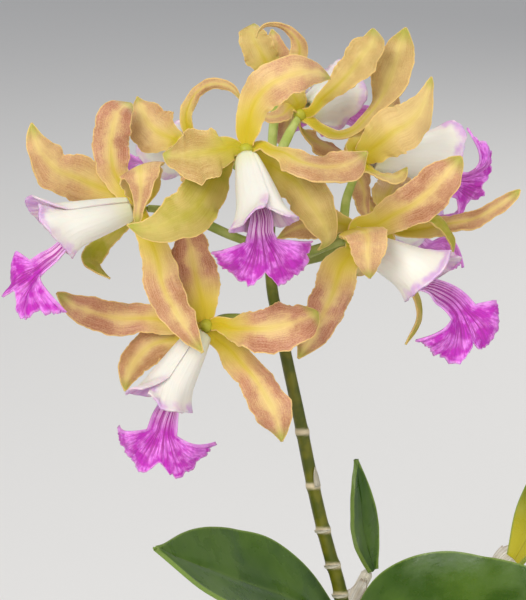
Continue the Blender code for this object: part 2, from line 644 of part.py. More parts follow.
def make_lip_tube(name, bloom, material, collection):
    """The lip's side lobes, rolled into a tube whose edges lap on the column's side."""
    along, top, side = lip_axes(bloom)
    foot = in_spray(bloom["heart"]) + along * (HEART_RADIUS + 1.0)

    def place(v, s):
        reach = TUBE_LENGTH * (1.0 - 0.34 * math.cos(0.5 * math.pi * v) ** 2)
        flare = max(0.0, (s - 0.7) / 0.3)
        radius = tube_radius(s * reach) + 0.95 * v
        radius += 1.4 * flare ** 2 + 0.8 * flare * math.sin(5.0 * math.pi * v)
        angle = math.radians(WRAP_DEGREES - MOUTH_OPENING_DEGREES * flare) * v
        return foot + along * (s * reach) + (side * math.sin(angle) - top * math.cos(angle)) * radius

    made = sheet_object(name + "_bloom_lip", TUBE_CELLS, place, LIP_THICKNESS, collection)
    made.data.materials.append(material)
    return made


def make_lip_lobe(name, bloom, material, collection):
    """The lip's middle lobe: a narrow neck on the tube's floor, then a ruffled, notched fan that bends."""
    along, top, side = lip_axes(bloom)
    heart = Vector(bloom["heart"])
    foot = in_spray(heart) + along * (HEART_RADIUS + 1.0)
    inside = [foot + along * z - top * (tube_radius(z) - NECK_RISE) for z in (20.0, 26.0, 32.0)]
    line = smooth_line(inside + [in_spray(heart + Vector(p)) for p in bloom["lobe"]], STATIONS)
    runs = np.concatenate([[0.0], np.cumsum(np.linalg.norm(np.diff(line, axis=0), axis=1))])
    across, normals = carried_frames(line, top, (0.0, 0.0))
    facing = np.array(spray_way(bloom["lobe_face"]))
    turn = math.degrees(math.atan2(-(facing @ across[-1]), facing @ normals[-1]))
    share = np.clip((runs - 12.0) / 10.0, 0.0, 1.0)
    across, normals = carried_frames(line, top, turn * share * share * (3.0 - 2.0 * share))
    neck = runs[-1] - LOBE_REACH
    floor = tube_radius(20.0) - NECK_RISE

    def place(v, s):
        if s <= 0.4:
            run = np.interp(s, (0.0, 0.2, 0.4), (0.0, 12.0, neck))
            width = np.interp(s, (0.0, 0.4), (NECK_ROOT_HALF_WIDTH, NECK_HALF_WIDTH))
            sideways, out = width * v, 0.0
        else:
            out = (s - 0.4) / 0.6
            edge = 1.0 - NOTCH_DEPTH * math.exp(-(v / 0.16) ** 2)
            fan = math.radians(82.0) * v
            run = neck + LOBE_REACH * out * edge * math.cos(fan)
            sideways = NECK_HALF_WIDTH * v + (LOBE_HALF_WIDTH - 4.0) * out * edge * math.sin(fan)
        centre, aside, lifted = (
            np.array([np.interp(run, runs, rows[:, axis]) for axis in range(3)])
            for rows in (line, across, normals)
        )
        curl = sideways ** 2 / (2.0 * floor) * (1.0 - out) - 0.018 * out * sideways ** 2
        curl += 2.4 * out ** 2 * math.sin(2.6 * math.pi * v + 0.8)
        return centre + unit(aside) * sideways + unit(lifted) * curl

    made = sheet_object(name + "_bloom_lip_lobe", LOBE_CELLS, place, LIP_THICKNESS, collection)
    made.data.materials.append(material)
    return made


def make_column(name, bloom, material, collection):
    """The column inside the lip's tube."""
    along, top, side = lip_axes(bloom)
    middle = in_spray(bloom["heart"]) + along * (HEART_RADIUS + 1.2 + 0.5 * COLUMN_LENGTH) + top * 1.2
    axes = Matrix((top, side, along)).transposed()
    radii = (COLUMN_RADIUS, COLUMN_RADIUS, 0.5 * COLUMN_LENGTH)
    made = ball(name + "_bloom_column", middle, radii, axes, (7, 6), collection)
    made.data.materials.append(material)
    return made


def make_flower_stem(material, collection):
    """The stem with the stalks and ovaries of all the blooms, as one body."""
    members = new_collection("stalks")
    for name, bloom in BLOOMS.items():
        end = in_spray(bloom["heart"]) + stalk_way(bloom) * (HEART_RADIUS + 2 * FIT_GAP)
        line = smooth_line([in_spray(p) for p in bloom["stalk"]] + [end], 6)
        radii = [STALK_RADIUS + (OVARY_RADIUS - STALK_RADIUS) * math.sin(math.pi * k / 6.0) for k in range(6)]
        rod_object(name + "_stalk", list(zip(line, radii)), members, sides=1)
    line = smooth_line([in_spray(p) for p in STEM_LINE], 18)
    radii = [STEM_RADIUS * (1.08 - 0.3 * k / 17.0) for k in range(18)]
    core = rod_object("stem_core", list(zip(line, radii)), collection)
    return fused("flower_stem", core, members, material, collection)


def make_leaf(name, leaf, material, collection):
    """A thick strap leaf with a channelled blade."""
    points, width, face, turns = leaf
    widths = [width * share for share in LEAF_PROFILE]
    made = blade_object("leaf_" + name, LEAF_CELLS, [Vector(p) for p in points], widths, Vector(face), turns,
                        (LEAF_CUP, 0.0, 0.0, 0.0), LEAF_THICKNESS, collection)
    made.data.materials.append(material)
    return made


def make_cane(name, stations, material, collection, grow=0.0):
    """A cane with its creeping foot. A grown copy cuts the hollow that it stands in."""
    line = smooth_line([s[:3] for s in stations], 11)
    run = np.linspace(0.0, 1.0, len(stations))
    radii = np.interp(np.linspace(0.0, 1.0, 11), run, [s[3] for s in stations]) + grow
    made = rod_object("cane_" + name, list(zip(line, radii)), collection)
    made.data.materials.append(material)
    return made


def turned(name, profile, collection):
    """A solid turned about Z from a closed outline of (radius, height) points in millimetres, top to bottom."""
    shape = bmesh.new()
    rows = [shape.verts.new((r * MM, 0.0, z * MM)) for r, z in profile]
    for a, b in zip(rows, rows[1:]):
        shape.edges.new((a, b))
    mesh = bpy.data.meshes.new(name)
    shape.to_mesh(mesh)
    shape.free()
    made = add_object(name, mesh, None, collection)
    screw = made.modifiers.new("turn", "SCREW")
    screw.steps = TURNED_STEPS
    screw.render_steps = TURNED_STEPS
    screw.use_merge_vertices = True
    screw.merge_threshold = 1e-5
    screw.use_normal_calculate = True
    return made


def inner_radius(height):
    """Inside radius of the pot at a height."""
    outer = POT_FOOT_RADIUS + (POT_TOP_RADIUS - POT_FOOT_RADIUS) * height / POT_HEIGHT
    return outer - POT_WALL


def make_pot(material, collection, cutters):
    """A plain clay pot with a thick rim and drain holes round the middle of its floor."""
    step = POT_HEIGHT - RIM_HEIGHT
    shoulder = POT_FOOT_RADIUS + (POT_TOP_RADIUS - POT_FOOT_RADIUS) * step / POT_HEIGHT
    floor = POT_WALL + 1.0
    profile = [
        (0.0, floor), (inner_radius(floor), floor), (inner_radius(POT_HEIGHT - 2.0), POT_HEIGHT - 2.0),
        (inner_radius(POT_HEIGHT) + 1.5, POT_HEIGHT), (POT_TOP_RADIUS + RIM_PROUD - 2.0, POT_HEIGHT),
        (POT_TOP_RADIUS + RIM_PROUD, POT_HEIGHT - 2.5), (shoulder + RIM_PROUD, step), (shoulder, step - 3.0),
        (POT_FOOT_RADIUS + 1.0, 2.0), (POT_FOOT_RADIUS - 1.0, 0.0), (0.0, 0.0),
    ]
    made = turned("pot", profile, collection)
    for number in range(DRAIN_COUNT):
        angle = 2 * math.pi * (number + 0.5) / DRAIN_COUNT
        shape = bmesh.new()
        bmesh.ops.create_cone(shape, cap_ends=True, segments=12, radius1=DRAIN_RADIUS * MM,
                              radius2=DRAIN_RADIUS * MM, depth=4 * floor * MM)
        spot = Vector((math.cos(angle), math.sin(angle), 0.0)) * DRAIN_RING_RADIUS * MM
        bmesh.ops.translate(shape, verts=shape.verts, vec=spot)
        mesh = bpy.data.meshes.new(f"drain_{number}")
        shape.to_mesh(mesh)
        shape.free()
        cutter = add_object(f"drain_{number}", mesh, None, cutters)
        cutter.hide_render = True
        cutter.display_type = "WIRE"
        cut = made.modifiers.new(f"drain_{number}", "BOOLEAN")
        cut.operation = "DIFFERENCE"
        cut.object = cutter
    made.data.materials.append(material)
    return made


def bark_height(x, y):
    """Height of the bark's surface in millimetres: coarse lumps like bark chips, higher in the middle."""
    lumps = 2.2 * math.sin(0.21 * x + 1.3 * math.sin(0.13 * y)) * math.cos(0.24 * y + 1.1 * math.sin(0.17 * x))
    return BARK_TOP + lumps - 0.0012 * (x * x + y * y)


def make_bark(material, collection, cutters):
    """The bark filling: a plug that fills the pot, its top raised in lumps, with a hollow for each cane."""
    rings = 7
    shape = bmesh.new()
    bottom = POT_WALL + 1.0 + BARK_CLEAR
    top_radius = inner_radius(BARK_TOP - 8.0) - BARK_CLEAR
    bmesh.ops.create_circle(shape, cap_ends=True, segments=28, radius=1.0)
    disc = shape.faces[:]
    for number in range(rings - 1):
        inset = bmesh.ops.inset_region(shape, faces=disc, thickness=1.0 / rings, use_even_offset=False)
        del inset
    bmesh.ops.poke(shape, faces=disc)
    rim = [edge for edge in shape.edges if edge.is_boundary]
    wall = bmesh.ops.extrude_edge_only(shape, edges=rim)
    low = [item for item in wall["geom"] if isinstance(item, bmesh.types.BMVert)]
    low_set = set(low)
    for vert in shape.verts:
        flat = Vector((vert.co.x, vert.co.y)) * top_radius
        if vert in low_set:
            flat *= (inner_radius(bottom) - BARK_CLEAR) / top_radius
            vert.co = Vector((flat.x, flat.y, bottom)) * MM
        else:
            vert.co = Vector((flat.x, flat.y, bark_height(flat.x, flat.y))) * MM
    bmesh.ops.holes_fill(shape, edges=[edge for edge in shape.edges if edge.is_boundary])
    bmesh.ops.triangulate(shape, faces=shape.faces)
    bmesh.ops.recalc_face_normals(shape, faces=shape.faces)
    mesh = bpy.data.meshes.new("bark")
    shape.to_mesh(mesh)
    shape.free()
    made = add_object("bark", mesh, material, collection)
    for name, stations in CANES.items():
        cutter = make_cane(name + "_hollow", stations, material, cutters, grow=FIT_GAP)
        cutter.hide_render = True
        cutter.display_type = "WIRE"
        cut = made.modifiers.new(name, "BOOLEAN")
        cut.operation = "DIFFERENCE"
        cut.object = cutter
    return made


def build():
    """Make the whole plant."""
    clear_scene()
    plant = new_collection("cattleya_orchid")
    cutters = new_collection("cutters")
    materials = make_materials()
    make_pot(materials["pot"], plant, cutters)
    make_bark(materials["bark"], plant, cutters)
    for name, stations in CANES.items():
        make_cane(name, stations, materials["cane"], plant)
    for name, leaf in LEAVES.items():
        make_leaf(name, leaf, materials["leaf"], plant)
    make_flower_stem(materials["stem"], plant)
    for name, bloom in BLOOMS.items():
        make_tepals(name, bloom, materials["petal"], plant)
        make_lip_tube(name, bloom, materials["lip"], plant)
        make_lip_lobe(name, bloom, materials["lobe"], plant)
        make_column(name, bloom, materials["column"], plant)


build()
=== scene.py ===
# %% [markdown]
# # A potted cattleya orchid, dressed for its portrait
# The plant stands as 51 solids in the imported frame: a clay pot, bark, five canes, seven leaves, the flower
# stem and nine blooms. Each solid is plain. This lesson replaces all but the bark with finer pieces on the
# same lines: thin petals with crimped golden edges, a rolled lip with a frilled purple fan, ribbed canes in
# papery sheaths.

# %% Load the frame
import math
import random

import bmesh
import bpy
import numpy as np
from mathutils import Matrix, Vector, noise


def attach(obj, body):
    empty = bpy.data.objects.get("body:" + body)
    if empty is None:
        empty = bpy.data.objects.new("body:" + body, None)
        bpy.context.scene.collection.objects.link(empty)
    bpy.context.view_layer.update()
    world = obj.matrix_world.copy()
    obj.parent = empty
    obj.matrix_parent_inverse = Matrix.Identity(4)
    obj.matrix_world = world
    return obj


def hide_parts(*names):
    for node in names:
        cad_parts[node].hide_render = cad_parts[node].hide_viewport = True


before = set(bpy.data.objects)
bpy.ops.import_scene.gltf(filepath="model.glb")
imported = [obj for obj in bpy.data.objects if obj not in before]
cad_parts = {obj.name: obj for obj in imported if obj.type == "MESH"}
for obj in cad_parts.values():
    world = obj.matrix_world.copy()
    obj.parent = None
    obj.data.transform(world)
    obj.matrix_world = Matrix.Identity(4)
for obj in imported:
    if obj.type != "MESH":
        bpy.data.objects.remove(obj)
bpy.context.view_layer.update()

MM = 0.001
print("solids in the frame:", len(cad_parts))


def add_object(name, data):
    """A new object in the scene's own collection."""
    made = bpy.data.objects.new(name, data)
    bpy.context.scene.collection.objects.link(made)
    return made


def mesh_of(name, shape):
    """A mesh made from a bmesh, which is freed."""
    mesh = bpy.data.meshes.new(name)
    shape.to_mesh(mesh)
    shape.free()
    return mesh


# %% [markdown]
# ## The spray's own frame
# The head of flowers is easiest to lay out as a viewer sees it: millimetres to the right, up, and nearer.
# That frame leans back by 15 degrees, because the picture looks slightly down on the plant. The camera uses
# the same axes, so a point that is drawn to the right of the heart of the head is also to the right in the
# picture.

# %% Axes of the spray
SPRAY_LEAN = math.radians(15.0)
SPRAY_ORIGIN = Vector((-60.0, -5.0, 376.0))
SPRAY_AXES = Matrix((
    (1.0, 0.0, 0.0),
    (0.0, math.sin(SPRAY_LEAN), -math.cos(SPRAY_LEAN)),
    (0.0, math.cos(SPRAY_LEAN), math.sin(SPRAY_LEAN)),
))


def in_spray(point):
    """A point of the spray's frame as world millimetres."""
    return SPRAY_AXES @ Vector(point) + SPRAY_ORIGIN


def spray_way(direction):
    """A direction of the spray's frame as a world unit vector."""
    return (SPRAY_AXES @ Vector(direction)).normalized()


def rise_of(point):
    """How far up the spray's frame a point in world millimetres is."""
    return (SPRAY_AXES.transposed() @ (Vector(point) - SPRAY_ORIGIN)).y


# %% The camera
VIEW_DISTANCE = 1000.0
PIXEL_SIZE = 0.43
IMAGE_HEIGHT = 600
SENSOR_HEIGHT = 24.0

right, up, near = (SPRAY_AXES.col[i].copy() for i in range(3))
eye = bpy.data.cameras.new("portrait_lens")
eye.sensor_fit = "VERTICAL"
eye.sensor_height = SENSOR_HEIGHT
eye.lens = SENSOR_HEIGHT * VIEW_DISTANCE / (IMAGE_HEIGHT * PIXEL_SIZE)
camera = add_object("portrait_camera", eye)
stand = Matrix.Translation((SPRAY_ORIGIN + near * VIEW_DISTANCE) * MM)
camera.matrix_world = stand @ Matrix((right, up, near)).transposed().to_4x4()
bpy.context.scene.camera = camera
print("lens", round(eye.lens, 1), "mm")

# %% [markdown]
# ## The blooms' control points
# A flower is a handful of curves. For each bloom this table holds its heart, the way that the lip points
# and the side of it that carries the column, the line and facing of the lip's middle lobe, its stalk, and
# five sepals and petals. A sepal or petal is a midline of a few points from the heart, its widths at even
# steps along it, the way that its inner face looks at its middle, turns along it in degrees, how far its
# edges wave, and how rosy and how green it is. Points like these are quicker to correct by eye than a
# sculpted mesh, and the same ones drive the plain solids. The petals of the far blooms are all of one form,
# so one size is enough for each.

# %% Blooms
FAR_PROFILE = (0.3, 0.68, 0.94, 0.98, 0.93, 0.8, 0.45)


def far(width):
    """The widths of a far bloom's petal of this size."""
    return tuple(round(width * share, 1) for share in FAR_PROFILE)


BLOOMS = {
    "centre": {
        "heart": (-7, 62, 38), "lip": (0.2, -0.79, 0.58), "column_side": (0.0, 0.6, 0.8),
        "lobe": [(6, -35, 13), (7, -46, 12), (7, -58, 8)], "lobe_face": (0, 0.25, 1),
        "stalk": [(3, 40, 5), (0, 50, 14), (-6, 64, 26)],
        "tepals": [
            ([(0, 5, 1), (1, 11, 3), (4, 20, 6), (11, 27, 8), (21, 31, 8), (29, 32, 3), (35, 30, -5)],
             (6, 11, 15, 16.5, 16.5, 13.5, 7), (0, 0, 1), (0, 0, 0), 0.9, (0.6, 0.0)),
            ([(-4, 1, 2), (-9, 0, 5), (-14, -1, 8), (-19, -2, 10), (-25, -3, 12), (-30, -3, 10),
              (-34, -2, 8)], (4.5, 10, 18.5, 23.5, 22.5, 17, 11), (0, 0.2, 1), (0, 0, 0), 1.3, (0.75, 0.4)),
            ([(5, 2, -2), (10, 0, 3), (16, -2, 8), (23, -6, 13), (33, -8, 14), (43, -6, 11), (50, -1, 4)],
             (4.5, 5, 10, 15.5, 17, 16, 9), (0, 0.3, 1), (0, 20, 30, 10, 0), 1.3, (0.7, 0.1)),
            ([(-5, 0, -5), (-12, -7, -5), (-17, -18, 1), (-23, -26, 6), (-33, -31, 9), (-42, -33, 8),
              (-49, -31, 5)], (5, 11, 18, 21, 19, 14, 7), (0.2, 0, 1), (0, 0, 10, 10), 1.5, (0.3, 0.7)),
            ([(4, -1, -10), (13, -7, -12), (21, -13, -7), (27, -22, -3), (32, -30, -4), (34, -37, -8),
              (30, -41, -12)], (5, 12, 16.5, 18.5, 17.5, 12, 6), (0, 0, 1), (0, -15, 10), 1.6, (0.45, 0.45)),
        ],
    },
    "left": {
        "heart": (-52, 39, 20), "lip": (-0.91, -0.27, 0.32), "column_side": (-0.1, 0.88, 0.45),
        "lobe": [(-34, -21, 6), (-40, -26, 7), (-56, -42, 6)], "lobe_face": (-0.53, 0.55, 0.65),
        "stalk": [(3, 22, 3), (-12, 27, 3), (-28, 34, 6), (-42, 38, 14)],
        "tepals": [
            ([(-4, 2, -9), (-12, 7, -12), (-20, 10, -12), (-27, 13, -10), (-35, 16, -7), (-41, 22, -5),
              (-44, 28, -4), (-46, 36, -5)],
             (5, 9, 14, 18, 20, 18.5, 15, 9), (0, 0.1, 1), (0, 5, 0), 2.4, (0.6, 0.1)),
            ([(-2, 4, -5), (-8, 10, -10), (-12, 17, -12), (-13, 27, -13), (-12, 36, -15), (-9, 43, -19),
              (-5, 46, -26)], (5, 9, 12, 15.5, 17.5, 17.5, 15), (0.2, 0, 1), (0, 0, 5), 1.0, (0.95, 0.0)),
            ([(1, 3, 4), (2, 8, 11), (1, 13, 17), (1, 16, 23), (2, 12, 28), (2, 6, 27), (1, -1, 24),
              (0, -8, 22)], (6, 13, 17.5, 19, 17, 11, 6.5, 11), (0, 0, 1), (0, 0, 0), 1.1, (0.7, 0.1)),
            ([(-3, -3, -8), (-9, -8, -16), (-15, -13, -18), (-19, -18, -16), (-21, -22, -12), (-18, -26, -9),
              (-13, -30, -9)], (4, 5, 5.5, 7, 10, 10, 4), (-0.5, 0, 1), (0, 10, 25), 0.6, (0.1, 1.0)),
            ([(2, -5, 0), (5, -14, 2), (8, -23, 4), (10, -33, 6), (15, -43, 8), (22, -54, 10), (27, -61, 10)],
             (5, 10.5, 14, 15.5, 15, 13, 7), (0, 0, 1), (0, 0, 0), 1.2, (0.9, 0.1)),
        ],
    },
    "low": {
        "heart": (-24, -11, 12), "lip": (-0.47, -0.8, 0.37), "column_side": (-0.3, 0.48, 0.82),
        "lobe": [(-15, -35, 5), (-18, -44, 5), (-21, -65, 1)], "lobe_face": (-0.1, 0.25, 1),
        "stalk": [(4, -8, 0), (-6, -8, -1), (-17, -8, 1)],
        "tepals": [
            ([(-1, 5, 0), (-2, 11, 0), (-4, 19, 0), (-6, 28, -2), (-8, 37, -4), (-12, 44, -9)],
             (6, 13, 18, 19, 18.5, 16, 9), (0, 0, 1), (0, 0, 0), 0.9, (1.0, 0.0)),
            ([(5, 1, 3), (11, -1, 9), (18, -1, 15), (26, -1, 19), (34, 1, 21), (41, 3, 19), (47, 6, 13)],
             (5, 8, 15, 20, 22.5, 22.5, 19), (0, 0.2, 1), (0, 10, 0), 1.3, (1.0, 0.0)),
            ([(4, -3, -3), (9, -9, -4), (15, -16, 0), (21, -23, 5), (26, -31, 7), (30, -40, 6), (32, -49, 2)],
             (6, 9.5, 12.5, 15, 18, 18, 10), (0, 0, 1), (0, 20, -10), 1.6, (0.8, 0.0)),
            ([(-4, -2, -5), (-12, -5, -12), (-23, -8, -15), (-30, -14, -14), (-34, -21, -10), (-35, -28, -7)],
             (5, 10, 14, 15.5, 15, 13, 8), (0, 0, 1), (0, -10, 0), 1.0, (0.9, 0.15)),
            ([(-5, 2, -4), (-12, 2, -10), (-25, 3, -12), (-37, 3, -12), (-47, 5, -10), (-57, 9, -6),
              (-64, 14, -3)], (5, 9, 12, 14.5, 15.5, 15, 12), (0, 0.2, 1), (0, 0, 0), 1.4, (0.9, 0.0)),
        ],
    },
    "right": {
        "heart": (37, 26, 22), "lip": (0.84, -0.44, 0.32), "column_side": (0.27, 0.86, 0.45),
        "lobe": [(35, -23, 6), (45, -31, 7), (52, -51, 4)], "lobe_face": (0.35, 0.3, 1),
        "stalk": [(3, 14, 3), (12, 18, 5), (24, 22, 14)],
        "tepals": [
            ([(2, 2, 9), (4, 3, 15), (5, 2, 21), (6, -1, 26), (6, -6, 28), (6, -12, 26), (7, -17, 22)],
             (5.5, 11.5, 16, 17.5, 16.5, 14.5, 10), (0, 0.3, 1), (0, 0, 0), 1.0, (0.5, 0.0)),
            ([(5, 3, -2), (11, 6, -3), (18, 10, 0), (26, 14, 4), (33, 20, 7), (40, 27, 8), (46, 34, 6)],
             (5, 9.5, 15, 18, 19, 19, 16), (0, 0, 1), (0, 0, 0), 0.9, (0.9, 0.05)),
            ([(-2, -5, -5), (-4, -12, -5), (-7, -22, -7), (-11, -31, -10), (-16, -41, -12), (-22, -51, -14)],
             (5.5, 12, 16.5, 17.5, 17, 15, 9), (0, 0, 1), (0, 10, 0), 1.6, (0.9, 0.0)),
            ([(4, -4, -14), (13, -11, -25), (24, -17, -22), (30, -26, -22), (30, -35, -20), (24, -45, -17)],
             (3.5, 5, 5.5, 5.5, 5.5, 5, 4.5), (0.7, 0.3, 0.7), (0, 20, 0), 0.8, (0.4, 0.75)),
            ([(-3, 5, -6), (-9, 7, -7), (-17, 6, -7), (-24, 4, -8), (-31, 0, -10)],
             (3.5, 7, 11, 13, 12, 9, 5), (0, 0.6, 1), (0, 20, 0), 0.8, (0.7, 0.2)),
        ],
    },
    "upper_right": {
        "heart": (42, 60, 8), "lip": (0.86, 0.07, -0.5), "column_side": (0, 0.9, 0.4),
        "lobe": [(39, -7, -27), (43, -8, -30), (60, -8, -44)], "lobe_face": (0.46, -0.5, 0.65),
        "stalk": [(3, 18, 2), (20, 20, -3), (33, 29, -2), (36, 44, 0)],
        "tepals": [
            ([(1, 2, 11), (7, 6, 16), (12, 10, 20), (19, 14, 20), (24, 20, 18), (27, 27, 15), (29, 34, 12)],
             (7, 13, 18.5, 20, 17, 9, 8), (0, 0, 1), (0, -10, 0), 1.1, (0.3, 0.15)),
            ([(0, 4, -5), (5, 11, -13), (10, 19, -19), (14, 27, -25), (16, 34, -30)],
             far(14), (0.2, 0, 1), (0, 10, 0), 1.0, (0.7, 0.1)),
            ([(0, 5, -9), (2, 10, -20), (5, 14, -30), (9, 16, -39)],
             far(13), (0.6, -0.5, -0.3), (0, 0, 0), 1.2, (0.7, 0.1)),
            ([(2, -4, 5), (5, -6, 10), (10, -8, 13), (15, -8, 12), (19, -4, 8)],
             (3.5, 5, 7, 8.5, 9, 8, 5), (-0.3, 1, 0.5), (0, 20, 0), 1.0, (0.5, 0.4)),
            ([(1, -5, -8), (1, -11, -16), (2, -19, -20), (4, -26, -23)],
             far(12), (0.4, 0.2, 1), (0, 0, 0), 1.2, (0.7, 0.1)),
        ],
    },
    "top": {
        "heart": (16, 80, -3), "lip": (0.4, 0.26, -0.88), "column_side": (0, 1, 0.1),
        "lobe": [(17, 2, -36), (19, 0, -43), (21, -3, -57)], "lobe_face": (0.2, 0.9, -0.3),
        "stalk": [(4, 52, 2), (7, 62, 6), (12, 73, 4)],
        "tepals": [
            ([(4, 1, 3), (9, 6, 6), (15, 11, 10), (21, 17, 13), (26, 24, 15), (31, 30, 14), (31, 36, 9)],
             (4.5, 5, 7.5, 12, 15.5, 16, 12), (0, 0, 1), (0, 0, 0), 1.0, (0.4, 0.3)),
            ([(-1, 4, 3), (-3, 8, 5), (-4, 13, 6), (-5, 19, 4)],
             far(11), (0, 0, 1), (0, 0, 0), 1.0, (0.4, 0.45)),
            ([(4, -2, 0), (9, -6, 1), (16, -9, 2), (23, -7, 2), (28, -2, 2), (33, 4, 2), (37, 11, 2),
              (40, 19, 2), (43, 29, 0), (46, 38, -5)],
             (4, 5, 5, 5, 7, 15, 18.5, 18.5, 13), (0, 0.3, 1), (0, 30, 20, 0, 0), 1.5, (0.5, 0.3)),
            ([(-4, 0, 5), (-8, -1, 9), (-13, -2, 11), (-19, -1, 11)],
             far(7), (0.1, 0.2, 1), (0, 0, 0), 1.2, (0.6, 0.1)),
            ([(0, -5, -2), (5, -10, -10), (13, -13, -17), (20, -15, -25)],
             (3, 6, 10, 12, 11, 9, 5), (0, 0.8, 1), (0, 0, 0), 1.4, (0.7, 0.1)),
        ],
    },
    "top_back": {
        "heart": (7, 94, -26), "lip": (0.15, -0.05, -0.99), "column_side": (-1, 0.3, 0),
        "lobe": [(15, -1, -39), (17, -2, -49), (18, -6, -61)], "lobe_face": (0, 0.8, -0.6),
        "stalk": [(4, 56, 0), (4, 68, -7), (5, 81, -16)],
        "tepals": [
            ([(-3, 5, 0), (-5, 9, 2), (-8, 15, 4), (-11, 20, 5), (-12, 25, 3), (-11, 28, -2)],
             (5.5, 10, 13.5, 15, 14.5, 13, 8), (0, 0, 1), (0, 0, 0), 1.0, (0.3, 0.35)),
            ([(1, 4, 8), (7, 10, 6), (9, 16, 6), (7, 21, 9), (2, 25, 12), (-5, 26, 13), (-9, 23, 14),
              (-10, 20, 14)], (4, 6.5, 9, 8, 4.5, 3.5, 3, 3), (0.3, 0.2, 1), (0, 0, 50, 60), 0.6, (0.6, 0.0)),
            ([(1, 5, -6), (0, 10, -11), (-1, 17, -12), (-2, 22, -11), (-3, 27, -14)],
             far(12), (0, 0, 1), (0, 0, 0), 1.0, (0.7, 0.0)),
            ([(-5, -1, -2), (-11, -3, -6), (-16, -6, -16), (-18, -10, -30)],
             far(15), (-0.5, 0.4, 1), (0, 0, 0), 1.2, (0.8, 0.1)),
            ([(6, -1, 1), (5, -10, -8), (3, -18, -18), (2, -24, -32)],
             far(14), (0.4, 0.3, 1), (0, 0, 0), 1.2, (0.8, 0.1)),
        ],
    },
    "right_back": {
        "heart": (55, 33, -20), "lip": (0.3, 0.12, -0.94), "column_side": (0, 1, 0.1),
        "lobe": [(13, -5, -34), (16, -9, -43), (21, -13, -63)], "lobe_face": (0.2, 0.8, -0.5),
        "stalk": [(3, 15, 0), (18, 17, -8), (34, 22, -16), (45, 28, -17)],
        "tepals": [
            ([(5, -2, 0), (14, -2, 1), (25, 0, 3), (36, 2, 5), (46, 7, 7), (52, 11, 8), (57, 15, 8)],
             (4, 6.5, 9, 10, 8, 8.5, 12), (0, 0.2, 1), (0, 20, 0), 1.2, (0.7, 0.1)),
            ([(3, 0, 6), (10, 2, 11), (17, 3, 15), (23, -1, 17), (27, -8, 15), (27, -16, 8)],
             (3.5, 5, 6, 6.5, 6.5, 5, 4), (0.4, 0.5, 0.6), (0, 0, 0), 0.6, (0.1, 0.9)),
            ([(0, 6, 0), (0, 13, -4), (4, 20, -12), (8, 26, -23)],
             far(15), (0.1, -0.4, -1), (0, 0, 0), 1.2, (0.8, 0.1)),
            ([(-4, 2, 2), (-7, 6, 1), (-10, 11, -2), (-11, 16, -7)],
             far(10), (0.4, 0.4, 1), (0, 0, 0), 1.6, (0.7, 0.1)),
            ([(-3, -4, -4), (-7, -10, -10), (-11, -16, -20), (-13, -22, -32)],
             far(15), (0.2, 0.2, -1), (0, 0, 0), 1.2, (0.8, 0.1)),
        ],
    },
    "left_back": {
        "heart": (-31, 67, -6), "lip": (-0.35, 0.0, -0.94), "column_side": (0.45, 0.9, 0),
        "lobe": [(-19, -6, -34), (-20, -6, -42), (-23, -3, -60)], "lobe_face": (-0.1, 0.9, -0.3),
        "stalk": [(2, 46, 2), (-6, 54, 4), (-19, 62, 3)],
        "tepals": [
            ([(-4, 1, 1), (-8, 3, -1), (-13, 5, -3), (-18, 9, -5), (-21, 14, -7), (-23, 18, -10),
              (-24, 22, -13)], (4, 7, 14, 21, 19.5, 14, 5), (0, 0.1, 1), (0, 0, 0), 0.8, (0.5, 0.1)),
            ([(-1, 5, 3), (-2, 13, 5), (2, 22, 5), (9, 26, 4), (17, 25, 2), (22, 19, -1)],
             (3.5, 5, 5.5, 5, 5, 4.5, 3.5), (0.4, 0.2, 0.8), (0, 0, -20), 0.5, (0.6, 0.1)),
            ([(0, -4, 2), (1, -11, 3), (4, -17, -1), (7, -22, -9)],
             far(13), (-0.2, 0.3, 1), (0, 0, 0), 1.0, (0.7, 0.1)),
            ([(5, -2, -1), (9, -6, -8), (13, -9, -18), (15, -11, -30)],
             (3, 5, 10, 13, 13, 11, 6), (0, 0.3, 1), (0, 0, 0), 1.2, (0.8, 0.1)),
            ([(6, 2, -3), (8, 1, -16), (9, -1, -29), (10, -3, -42)],
             (3, 4, 8, 12, 12, 10, 6), (-0.7, -0.2, -0.6), (0, 0, 0), 1.3, (0.8, 0.1)),
        ],
    },
}
print("blooms:", len(BLOOMS), "sepals and petals:", sum(len(bloom["tepals"]) for bloom in BLOOMS.values()))

# %% Stem, canes and leaves
STEM_LINE = [
    (37, -147.3, -40.5), (34, -128, -34), (30, -114, -30), (26, -99, -26), (21, -77, -20), (16, -52, -13),
    (11, -29, -7), (7, -10, -3), (4, 4, 0), (3, 20, 3), (3, 36, 4), (4, 50, 2), (5, 60, 0),
]
CANES = {
    "lead": [(-2, 2, 92, 5), (-10, 0, 94, 6), (-17, -3, 104, 7), (-21, -5, 130, 9), (-23, -5, 165, 9.5),
             (-24, -4, 200, 8), (-23, -3, 222, 6)],
    "young": [(14, 14, 92, 4), (6, 22, 94, 5), (-3, 28, 104, 5.5), (-12, 31, 140, 5), (-19, 32, 180, 4.2),
              (-20, 33, 214, 3.2), (-11, 34, 237, 2.7)],
    "side": [(12, 6, 92, 5), (22, 9, 94, 6), (30, 11, 106, 6.5), (34, 12, 140, 8.5), (36, 11, 185, 8),
             (39, 10, 222, 6), (46, 9, 247, 4.6), (60, 8, 261, 4.2)],
    "old": [(24, -8, 92, 5), (32, -14, 94, 6), (37, -18, 104, 7), (40, -20, 128, 9), (42, -21, 152, 8.5),
            (43, -21, 170, 5)],
    "back": [(20, 30, 92, 5), (27, 38, 94, 6), (31, 42, 104, 7), (33, 44, 128, 8.5), (34, 45, 150, 8),
             (34, 45, 166, 5)],
}
